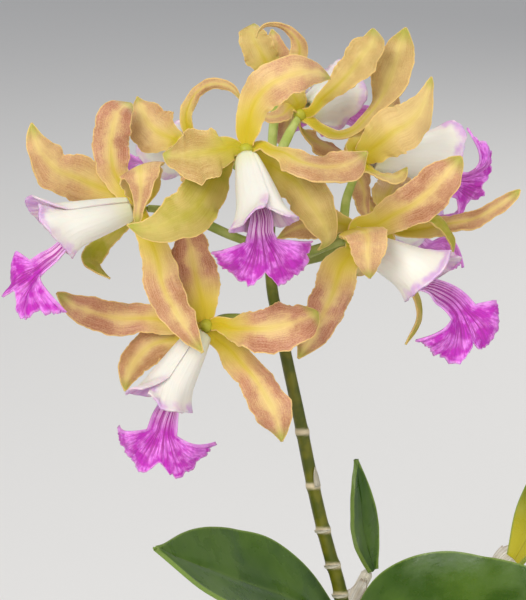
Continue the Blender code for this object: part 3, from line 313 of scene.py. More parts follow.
LEAVES = {
    "left": ([(-28, -6, 224), (-45, -20, 243), (-68, -43, 262), (-92, -68, 281), (-104, -82, 292)], 60,
             (0.15, -0.6, 1.0), (0, -10, 0)),
    "right": ([(-18, -6, 224), (-4, -18, 238), (28, -33, 244), (62, -46, 246.5), (92, -56, 237)], 62,
              (-0.1, -0.7, 1.0), (0, 12, 0)),
    "young": ([(-10, 33.6, 239.4), (-13, 34, 252), (-15.5, 34, 271), (-17.5, 35, 290)], 19, (0.9, -0.9, 0.2),
              (0, 0, 0)),
    "side_up": ([(54, 0.5, 257), (62, 2, 272), (79, 8, 294), (92, 11, 318), (94, 8, 346), (81, 2, 374)], 44,
                (-0.9, -0.5, 0.4), (0, 0, 0)),
    "side_out": ([(66, 12, 259), (86, 22, 263), (110, 36, 264), (136, 50, 257), (152, 60, 248)], 50,
                 (-0.2, -0.4, 1.0), (0, 0, 0)),
    "old_out": ([(45, -23, 171.6), (62, -38, 186), (84, -56, 196), (108, -76, 196), (124, -90, 188)], 48,
                (-0.2, -0.2, 1.0), (0, 0, 0)),
    "back_out": ([(35, 47, 167.6), (42, 62, 184), (52, 84, 200), (64, 108, 206), (74, 128, 200)], 50,
                 (0.0, -0.5, 1.0), (0, 0, 0)),
}
print("canes:", len(CANES), "leaves:", len(LEAVES))

# %% [markdown]
# ## Curves with a carried direction
# Every petal, leaf and stem follows a smooth line through its few points. A Catmull-Rom curve passes
# through all of them and needs no handles. A blade also needs to know which way its face looks at each
# station: the facing of the station before is carried along without twist, and the wanted turns are added
# to it. Carrying is steadier than computing the curve's own bends, which flip where the line is straight. A
# petal's face is given at its middle and carried both ways, because the middle is what one sees.

# %% Smooth lines
STATIONS = 48
STEPS_BETWEEN_POINTS = 16


def unit(vector):
    """The vector at length one."""
    return vector / np.linalg.norm(vector)


def curve_between(before, first, second, after, s):
    """The Catmull-Rom curve from the first to the second value, a share s of the way."""
    return 0.5 * (2 * first + (second - before) * s + (2 * before - 5 * first + 4 * second - after) * s ** 2
                  + (3 * first - before - 3 * second + after) * s ** 3)


def lengthened(values):
    """The values with one more at either end, straight on."""
    values = np.array(values, float)
    return np.concatenate([[2 * values[0] - values[1]], values, [2 * values[-1] - values[-2]]])


def runs_along(line):
    """The distance from the start of a line to each of its points."""
    return np.concatenate([[0.0], np.cumsum(np.linalg.norm(np.diff(line, axis=0), axis=1))])


def smooth_line(points):
    """A curve through the points, read at evenly spaced stations."""
    given = lengthened([tuple(p) for p in points])
    dense = [curve_between(*given[i:i + 4], k / STEPS_BETWEEN_POINTS)
             for i in range(len(points) - 1) for k in range(STEPS_BETWEEN_POINTS)]
    dense = np.array(dense + [given[-2]])
    runs = runs_along(dense)
    wanted = np.linspace(0.0, runs[-1], STATIONS)
    return np.stack([np.interp(wanted, runs, dense[:, axis]) for axis in range(3)], axis=1)


# %% Rows: where a line is and which way it faces
UNTURNED = (0.0, 0.0)


def carried_rows(line, face, turns=UNTURNED, start=0.0):
    """Centre, across and normal side by side at every station: a face carried from its start, then turned."""
    tangents = np.gradient(line, axis=0)
    tangents /= np.linalg.norm(tangents, axis=1)[:, None]
    first = round(start * (len(line) - 1))
    normals = np.zeros_like(tangents)
    for stations in (range(first, len(line)), range(first, -1, -1)):
        normal = np.array(tuple(face), float)
        for station in stations:
            tangent = tangents[station]
            normal = unit(normal - tangent * (normal @ tangent))
            normals[station] = normal
    across = np.cross(tangents, normals)
    share = np.linspace(0.0, 1.0, len(line))
    angle = np.radians(np.interp(share, np.linspace(0.0, 1.0, len(turns)), turns))[:, None]
    cosine, sine = np.cos(angle), np.sin(angle)
    return np.hstack([line, across * cosine + normals * sine, normals * cosine - across * sine])


def read_row(rows, share):
    """The row at a share 0 to 1 along evenly spaced rows, blended between its two neighbours."""
    spot = min(max(share, 0.0), 1.0) * (len(rows) - 1)
    low = min(int(spot), len(rows) - 2)
    return rows[low] + (rows[low + 1] - rows[low]) * (spot - low)


def beside(row, sideways, lift):
    """The point so far across a row and so far off its face."""
    return row[:3] + unit(row[3:6]) * sideways + unit(row[6:]) * lift


def around(row, angle, radius):
    """The point at a radius round a row, its angle counted from the face."""
    return row[:3] + (row[3:6] * math.sin(angle) + row[6:] * math.cos(angle)) * radius


print("stem:", round(runs_along(smooth_line([in_spray(p) for p in STEM_LINE]))[-1], 1), "mm long")

# %% Steps, bumps and wobbles


def stepped(value, low, high):
    """A smooth step from 0 at low to 1 at high."""
    share = min(1.0, max(0.0, (value - low) / (high - low)))
    return share * share * (3.0 - 2.0 * share)


def bump(distance, width, power=2):
    """1 in the middle, falling to nearly 0 two widths away. A higher power makes it squarer."""
    return math.exp(-(distance / width) ** power)


def wobble(*place):
    """A repeatable smooth noise between about -1 and 1."""
    return noise.noise(Vector((*place, 0.0, 0.0)[:3]))


def ripples(t, *waves):
    """Wobbles along t added up, each given by its height, how often it turns, and its place in the noise."""
    return sum(height * wobble(rate * t, place) for height, rate, place in waves)


# %% [markdown]
# ## One way to make every thin part
# Petals, lips and leaves are all thin sheets. Each starts as a flat grid from the grid operator, whose
# points are moved to where a small formula says for a place across (u from -1 to 1) and along (t from 0 to
# 1). A Solidify modifier then gives it a thickness, with a closed rim and a second material on its far
# side. The grid's columns are bunched towards the edges, because that is where petals crimp. Each point
# also keeps its distance to the edge in millimetres and the petal's tints, so that the colours can follow
# the shape.

# %% Sheets
FLUSH_LAYER, GREEN_LAYER = "flush", "green"
LAYERS = ("edge", FLUSH_LAYER, GREEN_LAYER)
CHART = "blade"
PLAIN = (0.0, 0.0)


def new_shape():
    """An empty mesh with a map for colours along and across, and the three layers that materials read."""
    shape = bmesh.new()
    shape.loops.layers.uv.new(CHART)
    for name in LAYERS:
        shape.verts.layers.float.new(name)
    return shape


def add_grid(shape, cells, place, tints=PLAIN, bunched=True):
    """Lay a grid and move each point to where place(u, t) says, which also gives its distance to the edge."""
    grid = bmesh.ops.create_grid(shape, x_segments=cells[0], y_segments=cells[1], size=1.0)
    chart = shape.loops.layers.uv[CHART]
    edge, flush, green = (shape.verts.layers.float[name] for name in LAYERS)
    spots = {}
    for vert in grid["verts"]:
        u = math.sin(0.5 * math.pi * vert.co.x) if bunched else vert.co.x
        spots[vert] = (u, 0.5 * (vert.co.y + 1.0))
    for vert, (u, t) in spots.items():
        for loop in vert.link_loops:
            loop[chart].uv = (0.5 * (u + 1.0), t)
        point, distance = place(u, t)
        vert.co = Vector(point) * MM
        vert[edge] = distance
        vert[flush], vert[green] = tints
    return grid["verts"]


def finish_piece(name, shape, materials, nodes=(), thickness=None):
    """Make the object, let it ride with the plant and stand for its solids. A sheet also gets a thickness."""
    for face in shape.faces:
        face.smooth = True
    mesh = mesh_of(name, shape)
    for material in materials:
        mesh.materials.append(material)
    made = add_object(name, mesh)
    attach(made, "root")
    if nodes:
        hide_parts(*nodes)
    if thickness is not None:
        shell = made.modifiers.new("thickness", "SOLIDIFY")
        shell.thickness = thickness * MM
        shell.offset = 0.0
        shell.material_offset = len(materials) - 1
    print(name, "faces:", len(mesh.polygons))
    return made


# %% [markdown]
# ## Rods
# Stems, stalks, canes and roots are round. A grid can be bent round into a pipe: across becomes the angle,
# and the seam's doubled points are merged. With a radius that may change at every place, the same pipe
# gives the swollen nodes of a stem and the ribs of a cane. A bevelled curve would be quicker, but it can't
# have ribs.

# %% Rods
ROD_FACE = (0.3, -1.0, 0.2)
ROUND_END = 60.0
SAME_SPOT = 1e-6


def add_rod(shape, line, radius_at, cells, tints=PLAIN, face=ROD_FACE):
    """A closed pipe along a line. radius_at(angle, t) gives its radius in mm."""
    rows = carried_rows(line, face)

    def place(u, t):
        angle = math.pi * u
        radius = radius_at(angle, t) * min(1.0, math.sqrt(max(0.0, min(t, 1.0 - t)) * ROUND_END))
        return around(read_row(rows, t), math.pi - angle, radius), radius

    verts = add_grid(shape, cells, place, tints, bunched=False)
    bmesh.ops.remove_doubles(shape, verts=verts, dist=SAME_SPOT)


def add_ball(shape, centre, radii, axes, segments):
    """An ellipsoid about a centre in mm, its radii along the axes matrix's columns."""
    stretch = Matrix.Diagonal((*(radius * MM for radius in radii), 1.0))
    place = Matrix.Translation(Vector(centre) * MM) @ axes.to_4x4() @ stretch
    made = bmesh.ops.create_uvsphere(shape, u_segments=segments[0], v_segments=segments[1], radius=1.0)
    bmesh.ops.transform(shape, matrix=place, verts=made["verts"])
    return made["verts"]


# %% [markdown]
# ## Shader helpers
# All colour here is worked out from the surface itself: its place in the object, its chart across and
# along, and the stored distance to the edge. A recipe is easiest to read as a sum, so a number that varies
# over the surface is wrapped as a mask, which adds and multiplies like any number and leaves a Math node
# behind each time.

# %% Nodes and masks


def add_node(tree, kind, values=None, **settings):
    """A node with its settings, its sockets filled with numbers or wired to masks and other sockets."""
    made = tree.nodes.new(kind)
    for key, value in settings.items():
        setattr(made, key, value)
    for key, value in (values or {}).items():
        if isinstance(value, Mask):
            value = value.socket
        if isinstance(value, bpy.types.NodeSocket):
            tree.links.new(value, made.inputs[key])
        else:
            made.inputs[key].default_value = value
    return made


def maths(tree, operation, *values):
    """The result of a Math node."""
    return Mask(add_node(tree, "ShaderNodeMath", dict(enumerate(values)), operation=operation))


class Mask:
    """A number that varies over a surface: one output of a node."""

    def __init__(self, node, output=0):
        self.tree, self.socket = node.id_data, node.outputs[output]

    def __add__(self, other):
        return maths(self.tree, "ADD", self, other)

    def __mul__(self, other):
        return maths(self.tree, "MULTIPLY", self, other)

    def step(self, low, high, start=0.0, end=1.0):
        """A smooth step from start at low to end at high."""
        ends = {"Value": self, "From Min": low, "From Max": high, "To Min": start, "To Max": end}
        return Mask(add_node(self.tree, "ShaderNodeMapRange", ends, interpolation_type="SMOOTHSTEP"))


def cloud_at(tree, where, scale, detail):
    """A noise read at a place."""
    return Mask(add_node(tree, "ShaderNodeTexNoise", {"Vector": where, "Scale": scale, "Detail": detail}))


def object_place(tree):
    """Where a point is in its object."""
    return add_node(tree, "ShaderNodeTexCoord").outputs["Object"]


# %% [markdown]
# ## Effects that materials share
# Three effects come back on almost every part of an orchid, so each is a node group that is built once.
# Veins are noise that is stretched along the blade, which wanders more naturally than drawn stripes. An
# edge band is a thin rim of another colour whose width wanders. Blotches are soft patches with a chosen
# size.

# %% Vein, edge and blotch groups


def new_group(name, inputs, output):
    """A node group with named number or vector inputs and one number output, and its two ends."""
    tree = bpy.data.node_groups.new(name, "ShaderNodeTree")
    for label, value in inputs.items():
        kind = "NodeSocketVector" if value is None else "NodeSocketFloat"
        socket = tree.interface.new_socket(label, in_out="INPUT", socket_type=kind)
        if value is not None:
            socket.default_value = value
    tree.interface.new_socket(output, in_out="OUTPUT", socket_type="NodeSocketFloat")
    entry = tree.nodes.new("NodeGroupInput")
    given = {label: Mask(entry, label) for label in inputs}
    return tree, given, tree.nodes.new("NodeGroupOutput").inputs[output]


veins_tree, given, put = new_group(
    "parallel_veins", {"Chart": None, "Count": 40.0, "Length": 3.0, "Sharpness": 0.12}, "Lines")
stretch = add_node(veins_tree, "ShaderNodeCombineXYZ", {"X": given["Count"], "Y": given["Length"], "Z": 1.0})
laid = add_node(veins_tree, "ShaderNodeVectorMath", {0: given["Chart"], 1: stretch.outputs[0]},
                operation="MULTIPLY")
streaks = cloud_at(veins_tree, laid.outputs[0], 1.0, 2.0)
low = maths(veins_tree, "SUBTRACT", 0.5, given["Sharpness"])
veins_tree.links.new(streaks.step(low, given["Sharpness"] + 0.5).socket, put)

band_tree, given, put = new_group("edge_band", {"Distance": 1.0, "Width": 1.0, "Grain": 700.0}, "Band")
ragged = cloud_at(band_tree, object_place(band_tree), given["Grain"], 2.0) + -0.5
share = maths(band_tree, "DIVIDE", given["Distance"], given["Width"])
band_tree.links.new((share + ragged).step(1.1, 0.3).socket, put)

blotch_tree, given, put = new_group("soft_blotches", {"Scale": 100.0, "Low": 0.35, "High": 0.65}, "Mask")
cloud = cloud_at(blotch_tree, object_place(blotch_tree), given["Scale"], 3.0)
blotch_tree.links.new(cloud.step(given["Low"], given["High"]).socket, put)
print("groups:", [tree.name for tree in (veins_tree, band_tree, blotch_tree)])

# %% [markdown]
# ## Finishes
# A finish here is a material with its own Principled shader. It reads what a thin part stores: its chart,
# how far across (0 at the midrib, 1 at an edge) and along a point lies, its distance to the edge, and its
# two tints. The colour is built in coats, as a painter would, each laid over the last through a mask.
# Uniform values, such as the gloss of a petal, are set on the shader's own sockets.

# %% The finish class


class Finish:
    """A material in the making, and the colour that has been laid on it so far."""

    def __init__(self, name, roughness, charted=True, **uniform):
        self.material = bpy.data.materials.new(name)
        self.material.use_nodes = True
        self.tree = self.material.node_tree
        self.shader = self.tree.nodes["Principled BSDF"]
        for key, value in {"Roughness": roughness, **uniform}.items():
            self.shader.inputs[key.replace("_", " ")].default_value = value
        if charted:
            self.chart = add_node(self.tree, "ShaderNodeUVMap", uv_map=CHART).outputs[0]
            parts = add_node(self.tree, "ShaderNodeSeparateXYZ", {0: self.chart})
            self.across = maths(self.tree, "ABSOLUTE", Mask(parts, "X") * 2.0 + -1.0)
            self.along = Mask(parts, "Y")
            self.edge, self.flush, self.green = (self.stored(layer) for layer in LAYERS)

    def stored(self, layer):
        """A number that the mesh keeps on its points."""
        return Mask(add_node(self.tree, "ShaderNodeAttribute", attribute_name=layer), "Fac")

    def group(self, tree, **values):
        """The result of a group placed in this material with its own values."""
        return Mask(add_node(self.tree, "ShaderNodeGroup", values, node_tree=tree))

    def veins(self, count, length, sharpness=0.12):
        """Lines along a blade, from 0 between them to 1 on them."""
        return self.group(veins_tree, Chart=self.chart, Count=count, Length=length, Sharpness=sharpness)

    def edge_band(self, width, grain=700.0):
        """1 at an edge, fading to 0 about width millimetres in."""
        return self.group(band_tree, Distance=self.edge, Width=width, Grain=grain)

    def blotches(self, scale, low=0.35, high=0.65):
        """Soft patches of about 1/scale metres."""
        return self.group(blotch_tree, Scale=scale, Low=low, High=high)

    def mix(self, share, first, second, blend="MIX"):
        """Two colours mixed by a share. Each is three numbers or an earlier mix."""
        first, second = ((*c, 1.0) if isinstance(c, tuple) else c for c in (first, second))
        values = {0: share, 6: first, 7: second}
        return add_node(self.tree, "ShaderNodeMix", values, data_type="RGBA", blend_type=blend).outputs[2]

    def coat(self, share, colour, blend="MIX"):
        """Lay a colour over what is there."""
        self.colour = self.mix(share, self.colour, colour, blend)

    def finished(self, height, depth):
        """The material, with its colour wired and a bump of so many millimetres."""
        self.tree.links.new(self.colour, self.shader.inputs["Base Color"])
        values = {"Height": height, "Distance": depth * MM, "Strength": 1.0}
        relief = add_node(self.tree, "ShaderNodeBump", values)
        self.tree.links.new(relief.outputs[0], self.shader.inputs["Normal"])
        return self.material


# %% [markdown]
# ## Petal colours
# A cattleya's petal is yellow at its claw and along the midrib, and flushed with rose-tan between there and
# the thin golden edge. The flush is uneven: it gathers in fine lengthwise veins and soft patches. One
# recipe makes the inner face and the paler, greener back, with the balance of its colours as the only
# difference. Each petal's own tints are stored on its points, so that all of them share two materials.

# %% Petal finishes
PALE_YELLOW, BASE_YELLOW, GOLD = (0.79, 0.60, 0.235), (0.60, 0.46, 0.008), (0.80, 0.56, 0.20)
ROSE_TAN, SHADE_BROWN, ROSE_SHADE = (0.66, 0.375, 0.235), (0.42, 0.20, 0.075), (0.62, 0.34, 0.24)
LIME, TIP_GREEN, VEIN_SHADE = (0.40, 0.385, 0.02), (0.38, 0.42, 0.04), (0.72, 0.56, 0.36)
SKIN_DEPTH = 0.002


def petal_finish(name, flush_gain, green_gain, vein_depth):
    """The inner face or the back of a sepal or petal."""
    paint = Finish(name, 0.5, Specular_IOR_Level=0.3, Subsurface_Weight=0.12, Subsurface_Scale=SKIN_DEPTH)
    across, along = paint.across, paint.along
    lines, specks = paint.veins(60.0, 5.0, 0.16), paint.veins(110.0, 60.0, 0.2)
    soft, shade_patches = paint.blotches(110.0), paint.blotches(60.0, 0.42, 0.66)
    grain = paint.blotches(1700.0, 0.3, 0.7)
    spread = (across + soft * 0.25).step(0.0, 0.75) * along.step(0.14, 0.6) * paint.flush
    rosy = spread * (soft * 0.35 + 0.5 + grain * 0.4) * flush_gain
    paint.colour = paint.mix(rosy, PALE_YELLOW, ROSE_TAN)
    # Painted shade: soft patches of the dark brown that the flush shows in shadow, laid at random over it.
    paint.coat(rosy * shade_patches * 0.4, SHADE_BROWN)
    paint.coat((specks * 0.6 + lines * 0.4) * rosy * vein_depth, ROSE_SHADE, "MULTIPLY")
    paint.coat((along + across * 0.16).step(0.58, 0.14) * 0.95, BASE_YELLOW)
    paint.coat(across.step(0.26, 0.0) * along.step(0.95, 0.25) * 0.55, BASE_YELLOW)
    paint.coat((soft * 0.4 + 0.7) * paint.green * green_gain, LIME)
    paint.coat(along.step(0.86, 0.99) * 0.75, TIP_GREEN)
    paint.coat(lines * 0.22, VEIN_SHADE, "MULTIPLY")
    paint.coat(paint.edge_band(0.6) * 0.8, GOLD)
    return paint.finished(lines * 0.5 + specks * 0.4, 0.05)


petal_face = petal_finish("petal_face", 1.25, 1.0, 0.85)
petal_back = petal_finish("petal_back", 0.7, 1.2, 0.8)
print("petal finishes:", petal_face.name, petal_back.name)

# %% [markdown]
# ## Lip colours
# The rolled lip is creamy white, with a breath of green at its foot, and its free edges blush to lilac. The
# fan that hangs from its mouth is the strongest colour on the plant: magenta-purple, with darker veins that
# spread from the throat like the ribs of a fan. The chart's across lines spread with the fan, so veins
# drawn along it do the same.

# %% Lip finishes
CREAM, GREEN_CREAM = (0.80, 0.77, 0.68), (0.72, 0.74, 0.40)
LILAC, LILAC_SHADE = (0.66, 0.42, 0.68), (0.85, 0.70, 0.84)


def lip_finish(name, blush_width, vein_depth):
    """The outside or inside of the rolled lip."""
    paint = Finish(name, 0.42, Subsurface_Weight=0.15, Subsurface_Scale=SKIN_DEPTH)
    lines = paint.veins(50.0, 1.5)
    blush = paint.edge_band(blush_width, 220.0) * (paint.blotches(130.0, 0.38, 0.6) * 0.75 + 0.25)
    paint.colour = paint.mix(paint.along.step(0.3, 0.0) * 0.6, CREAM, GREEN_CREAM)
    paint.coat(blush * paint.along.step(0.6, 0.92), LILAC)
    paint.coat(lines * vein_depth, LILAC_SHADE, "MULTIPLY")
    return paint.finished(lines, 0.06)


lip_outside = lip_finish("lip_outside", 4.2, 0.04)
lip_inside = lip_finish("lip_inside", 9.0, 0.9)
print("lip finishes:", lip_outside.name, lip_inside.name)

# %% Fan and column finishes
MAGENTA, MAGENTA_HIGHLIGHT, DARK_MAGENTA = (0.56, 0.015, 0.50), (0.93, 0.30, 0.93), (0.40, 0.01, 0.36)
WINE, THROAT, THROAT_VEIN = (0.34, 0.01, 0.26), (0.92, 0.58, 0.84), (0.42, 0.01, 0.32)
PALE_EDGE, PALE_BACK = (0.90, 0.45, 0.90), (0.80, 0.42, 0.80)
COLUMN_FOOT, COLUMN_TIP = (0.62, 0.66, 0.32), (0.88, 0.84, 0.74)


def fan_finish(name, paleness):
    """The face or the back of the lip's purple middle lobe."""
    paint = Finish(name, 0.5, Subsurface_Weight=0.1, Subsurface_Scale=SKIN_DEPTH)
    lines, rays = paint.veins(26.0, 1.2, 0.07), paint.veins(60.0, 9.0, 0.14)
    soft = paint.blotches(200.0, 0.4, 0.62)
    # Painted highlight: soft patches where the magenta lightens to the pink of its lit folds, laid at random.
    paint.colour = paint.mix(soft * 0.75, MAGENTA, MAGENTA_HIGHLIGHT)
    paint.coat(rays * 0.6, DARK_MAGENTA)
    paint.coat(lines * paint.along.step(1.0, 0.6) * paint.across.step(0.75, 0.3) * 0.95, WINE)
    paint.colour = paint.mix(paint.along.step(0.2, 0.42), paint.mix(lines, THROAT, THROAT_VEIN), paint.colour)
    paint.coat(paint.edge_band(1.2, 420.0) * 0.5, PALE_EDGE)
    paint.coat(paleness, PALE_BACK)
    return paint.finished(lines + soft, 0.12)


fan_face = fan_finish("fan_face", 0.0)
fan_back = fan_finish("fan_back", 0.3)

paint = Finish("column_cream", 0.35, Subsurface_Weight=0.15, Subsurface_Scale=SKIN_DEPTH)
paint.colour = paint.mix(paint.along.step(0.2, 0.7), COLUMN_FOOT, COLUMN_TIP)
column_cream = paint.finished(paint.blotches(900.0), 0.05)
print("fan and column finishes:", fan_face.name, fan_back.name, column_cream.name)

# %% [markdown]
# ## Greens
# Stem, stalks, canes and leaves are different greens of one plant. The stem is dark olive and its young
# stalks pale, which the stored green share decides. Leaves are leathery: a waxy gloss whose roughness
# varies, a paler edge and midrib, and fine lengthwise veins. Canes and stem have rings. On the stem the
# stored flush gives their place; on a cane it says how papery the cane is.

# %% Stem finish
OLIVE, LIGHT_OLIVE, STALK_GREEN = (0.070, 0.085, 0.003), (0.14, 0.135, 0.006), (0.42, 0.52, 0.10)
PALE_STALK, HEART_GREEN, STEM_RING = (0.56, 0.64, 0.20), (0.44, 0.43, 0.03), (0.66, 0.55, 0.36)

paint = Finish("stem_green", 0.42, Specular_IOR_Level=0.35)
soft = paint.blotches(150.0)
olive, pale = paint.mix(soft, OLIVE, LIGHT_OLIVE), paint.mix(soft, STALK_GREEN, PALE_STALK)
paint.colour = paint.mix(paint.green, olive, pale)
paint.coat(paint.green.step(1.05, 1.25), HEART_GREEN)
paint.coat(paint.flush, STEM_RING)
stem_green = paint.finished(paint.veins(40.0, 3.0), 0.03)

# %% Leaf finishes
LEAF_RIB, LEAF_EDGE, YOUNG_FOOT = (0.13, 0.21, 0.03), (0.20, 0.29, 0.05), (0.48, 0.42, 0.02)


def leaf_finish(name, dark, light, roughness):
    """The upper or under side of a leaf, yellower at its foot where the green share says that it is young."""
    paint = Finish(name, roughness, Specular_IOR_Level=0.4)
    paint.colour = paint.mix(paint.blotches(45.0), dark, light)
    paint.coat(paint.veins(90.0, 1.0) * 0.12, light)
    paint.coat(paint.across.step(0.05, 0.0) * 0.35, LEAF_RIB)
    paint.coat(paint.along.step(0.3, 0.03) * paint.green, YOUNG_FOOT)
    paint.coat(paint.edge_band(1.0) * 0.7, LEAF_EDGE)
    gloss = paint.blotches(90.0).step(0.0, 1.0, roughness - 0.05, roughness + 0.1)
    paint.tree.links.new(gloss.socket, paint.shader.inputs["Roughness"])
    return paint.finished(paint.blotches(260.0), 0.04)


leaf_top = leaf_finish("leaf_top", (0.032, 0.082, 0.005), (0.068, 0.135, 0.012), 0.3)
leaf_under = leaf_finish("leaf_under", (0.08, 0.15, 0.02), (0.12, 0.20, 0.035), 0.42)

# %% Cane and sheath finishes
CANE_DARK, CANE_LIGHT, CANE_YELLOW = (0.10, 0.15, 0.015), (0.26, 0.27, 0.03), (0.50, 0.46, 0.04)
CANE_LINE, CANE_RING = (0.30, 0.27, 0.08), (0.78, 0.71, 0.58)
PAPER, PAPER_LINE, PAPER_FRESH = (0.80, 0.76, 0.67), (0.64, 0.57, 0.45), (0.84, 0.76, 0.58)
PAPER_STAIN, PAPER_EDGE = (0.26, 0.17, 0.09), (0.34, 0.23, 0.12)

paint = Finish("cane_green", 0.45)
lines = paint.veins(26.0, 3.0)
paint.colour = paint.mix(paint.blotches(90.0), CANE_DARK, CANE_LIGHT)
paint.coat(paint.green, CANE_YELLOW)
paint.coat(lines * 0.4, CANE_LINE)
paint.coat(paint.flush, CANE_RING)
cane_green = paint.finished(lines, 0.15)

paint = Finish("sheath_paper", 0.62)
lines = paint.veins(60.0, 1.6)
paint.colour = paint.mix(lines, PAPER, PAPER_LINE)
paint.coat(paint.blotches(120.0, 0.5, 0.75) * 0.4, PAPER_STAIN)
paint.coat(paint.edge_band(1.2) * 0.5, PAPER_EDGE)
paint.coat(paint.green, PAPER_FRESH)
sheath_paper = paint.finished(lines, 0.2)
print("green finishes:", [made.name for made in (stem_green, leaf_top, leaf_under, cane_green, sheath_paper)])

# %% [markdown]
# ## Bark, roots and clay
# The growing medium is coarse bark: chips of one brown that differ from piece to piece, so each chip stores
# its own shade. Roots have a silvery skin with green growing tips. The pot is unglazed clay. It shows
# turning lines, a slight mottle and a pale bloom of minerals towards its foot, where water dries.

# %% Bark and root finishes
BARK_DARK, BARK_LIGHT, BARK_DUST = (0.055, 0.026, 0.014), (0.27, 0.135, 0.065), (0.36, 0.22, 0.12)
SILVER, PALE_SILVER, ROOT_TIP = (0.46, 0.45, 0.38), (0.66, 0.65, 0.58), (0.20, 0.30, 0.05)

paint = Finish("bark_brown", 0.88, charted=False)
grain = paint.blotches(420.0, 0.3, 0.7)
paint.colour = paint.mix(paint.stored(FLUSH_LAYER), BARK_DARK, BARK_LIGHT)
paint.coat(grain * 0.45, BARK_DUST)
bark_brown = paint.finished(grain, 0.5)

paint = Finish("root_silver", 0.8)
mottle = paint.blotches(300.0)
paint.colour = paint.mix(mottle, SILVER, PALE_SILVER)
paint.coat(paint.along.step(0.9, 0.97) * paint.green, ROOT_TIP)
root_silver = paint.finished(mottle, 0.15)

# %% Clay finish
CLAY, LIGHT_CLAY = (0.36, 0.135, 0.065), (0.50, 0.21, 0.11)
CLAY_SPECK, MINERAL = (0.30, 0.10, 0.05), (0.66, 0.56, 0.47)

paint = Finish("fired_clay", 0.86, charted=False)
where = object_place(paint.tree)
height = Mask(add_node(paint.tree, "ShaderNodeSeparateXYZ", {0: where}), "Z")
grain = paint.blotches(1600.0, 0.3, 0.7)
wave = {"Vector": where, "Scale": 70.0, "Distortion": 1.5, "Detail": 2.0}
turning = Mask(add_node(paint.tree, "ShaderNodeTexWave", wave, wave_type="BANDS", bands_direction="Z"), "Fac")
paint.colour = paint.mix(paint.blotches(60.0), CLAY, LIGHT_CLAY)
paint.coat(grain * 0.3, CLAY_SPECK)
paint.coat(paint.blotches(38.0, 0.45, 0.7) * height.step(0.095, 0.0) * 0.6, MINERAL)
fired_clay = paint.finished(turning + grain * 0.8, 0.25)
print("finishes:", len(bpy.data.materials))

# %% [markdown]
# ## Sepals and petals
# Each bloom's five blades meet at its heart, a small knob. A blade follows its midline with a width that
# swells from a narrow claw and draws out to a tip. On top of that come three sizes of movement: the slow
# waves that the plain solids have too, a faint groove at the midrib, and the fine crimp of the edge. Only
# the edge may move much, because the middle is what gives a petal its line.

# %% Blades
CLAW_START, CLAW_LENGTH = 1.6, 6.5
HEART_RADIUS = 3.6
LIP_BARRED, STALK_BARRED = -0.1, 0.2
THINNEST_HALF = 0.4


def half_width(widths, t):
    """Half the width of a blade at a share t of its length: smooth through its widths, round at the tip."""
    spot = t * (len(widths) - 1)
    low = min(int(spot), len(widths) - 2)
    full = curve_between(*lengthened(widths)[low:low + 4], spot - low)
    return max(THINNEST_HALF, 0.5 * full * max(0.0, 1.0 - t ** 6) ** 0.7)


def blade_edge(half, u, left):
    """How far a point of a blade is from its edge, with so much length left to the tip."""
    return min(half * (1.0 - abs(u)), left)


def stalk_way(bloom):
    """World direction from a bloom's heart to the last point of its stalk."""
    return (in_spray(bloom["stalk"][-1]) - in_spray(bloom["heart"])).normalized()


def claw_way(bloom, first):
    """The way that a blade's claw leaves the heart, kept clear of the lip's foot and of the stalk."""
    way = spray_way(first)
    for barred, limit in ((spray_way(bloom["lip"]), LIP_BARRED), (stalk_way(bloom), STALK_BARRED)):
        excess = way.dot(barred) - limit
        if excess > 0.0:
            way = (way - barred * excess).normalized()
    return way


# %% Sepals and petals
PETAL_THICKNESS = 0.7
PETAL_CELLS = (22, 64)
PETAL_CUP, RIB_GROOVE, RIB_HALF = -0.16, 0.35, 0.09
RUFFLE_WAVES, PHASE_STEP, SIDE_PHASE = 1.9, 0.37, 0.3
CRIMP_POWER, SLOW_WOBBLE = 4, 0.5


def add_tepal(shape, bloom, number):
    """One sepal or petal with waves, groove, crimp and a ragged outline."""
    points, widths, face, turns, ruffle, tints = bloom["tepals"][number]
    seed = 7.0 * bloom["number"] + number
    heart, way = Vector(bloom["heart"]), claw_way(bloom, points[0])
    midline = [in_spray(heart) + way * length for length in (CLAW_START, CLAW_LENGTH)]
    line = smooth_line(midline + [in_spray(heart + Vector(p)) for p in points[1:]])
    rows, length = carried_rows(line, spray_way(face), turns, 0.5), runs_along(line)[-1]
    phase, widest = PHASE_STEP * number, max(widths)

    def place(u, t):
        half = half_width(widths, t)
        side = math.copysign(1.0, u)
        nicks = (0.24, 5.5, seed + side), (0.13, 14.0, seed + 2 * side), (0.05, 42.0, seed - side)
        crimps = (2.2, 7.0, 3 * side + seed), (1.1, 20.0, side - seed)
        wave = math.sin(2 * math.pi * (RUFFLE_WAVES * t + phase + SIDE_PHASE * (u > 0)))
        swell = max(math.sin(math.pi * min(1.0, t * 1.05)) ** 0.6, 0.3 * stepped(t, 0.4, 0.9))
        lift = PETAL_CUP * half * u * u + ruffle * swell * u * u * wave * 2.0 * half / widest
        lift += ripples(t, *crimps) * swell * abs(u) ** CRIMP_POWER * min(1.0, half / 6.0)
        lift -= RIB_GROOVE * bump(u, RIB_HALF) * (1.0 - t) * min(1.0, half / 5.0)
        lift += SLOW_WOBBLE * wobble(2.5 * t, 1.2 * u, seed) * swell
        sideways = u * half * (1.0 + ripples(t, *nicks))
        return beside(read_row(rows, t), sideways, lift), blade_edge(half, u, length * (1.0 - t))

    add_grid(shape, PETAL_CELLS, place, tints)


def add_tepals(shape, bloom):
    """All five blades of a bloom."""
    for number in range(len(bloom["tepals"])):
        add_tepal(shape, bloom, number)


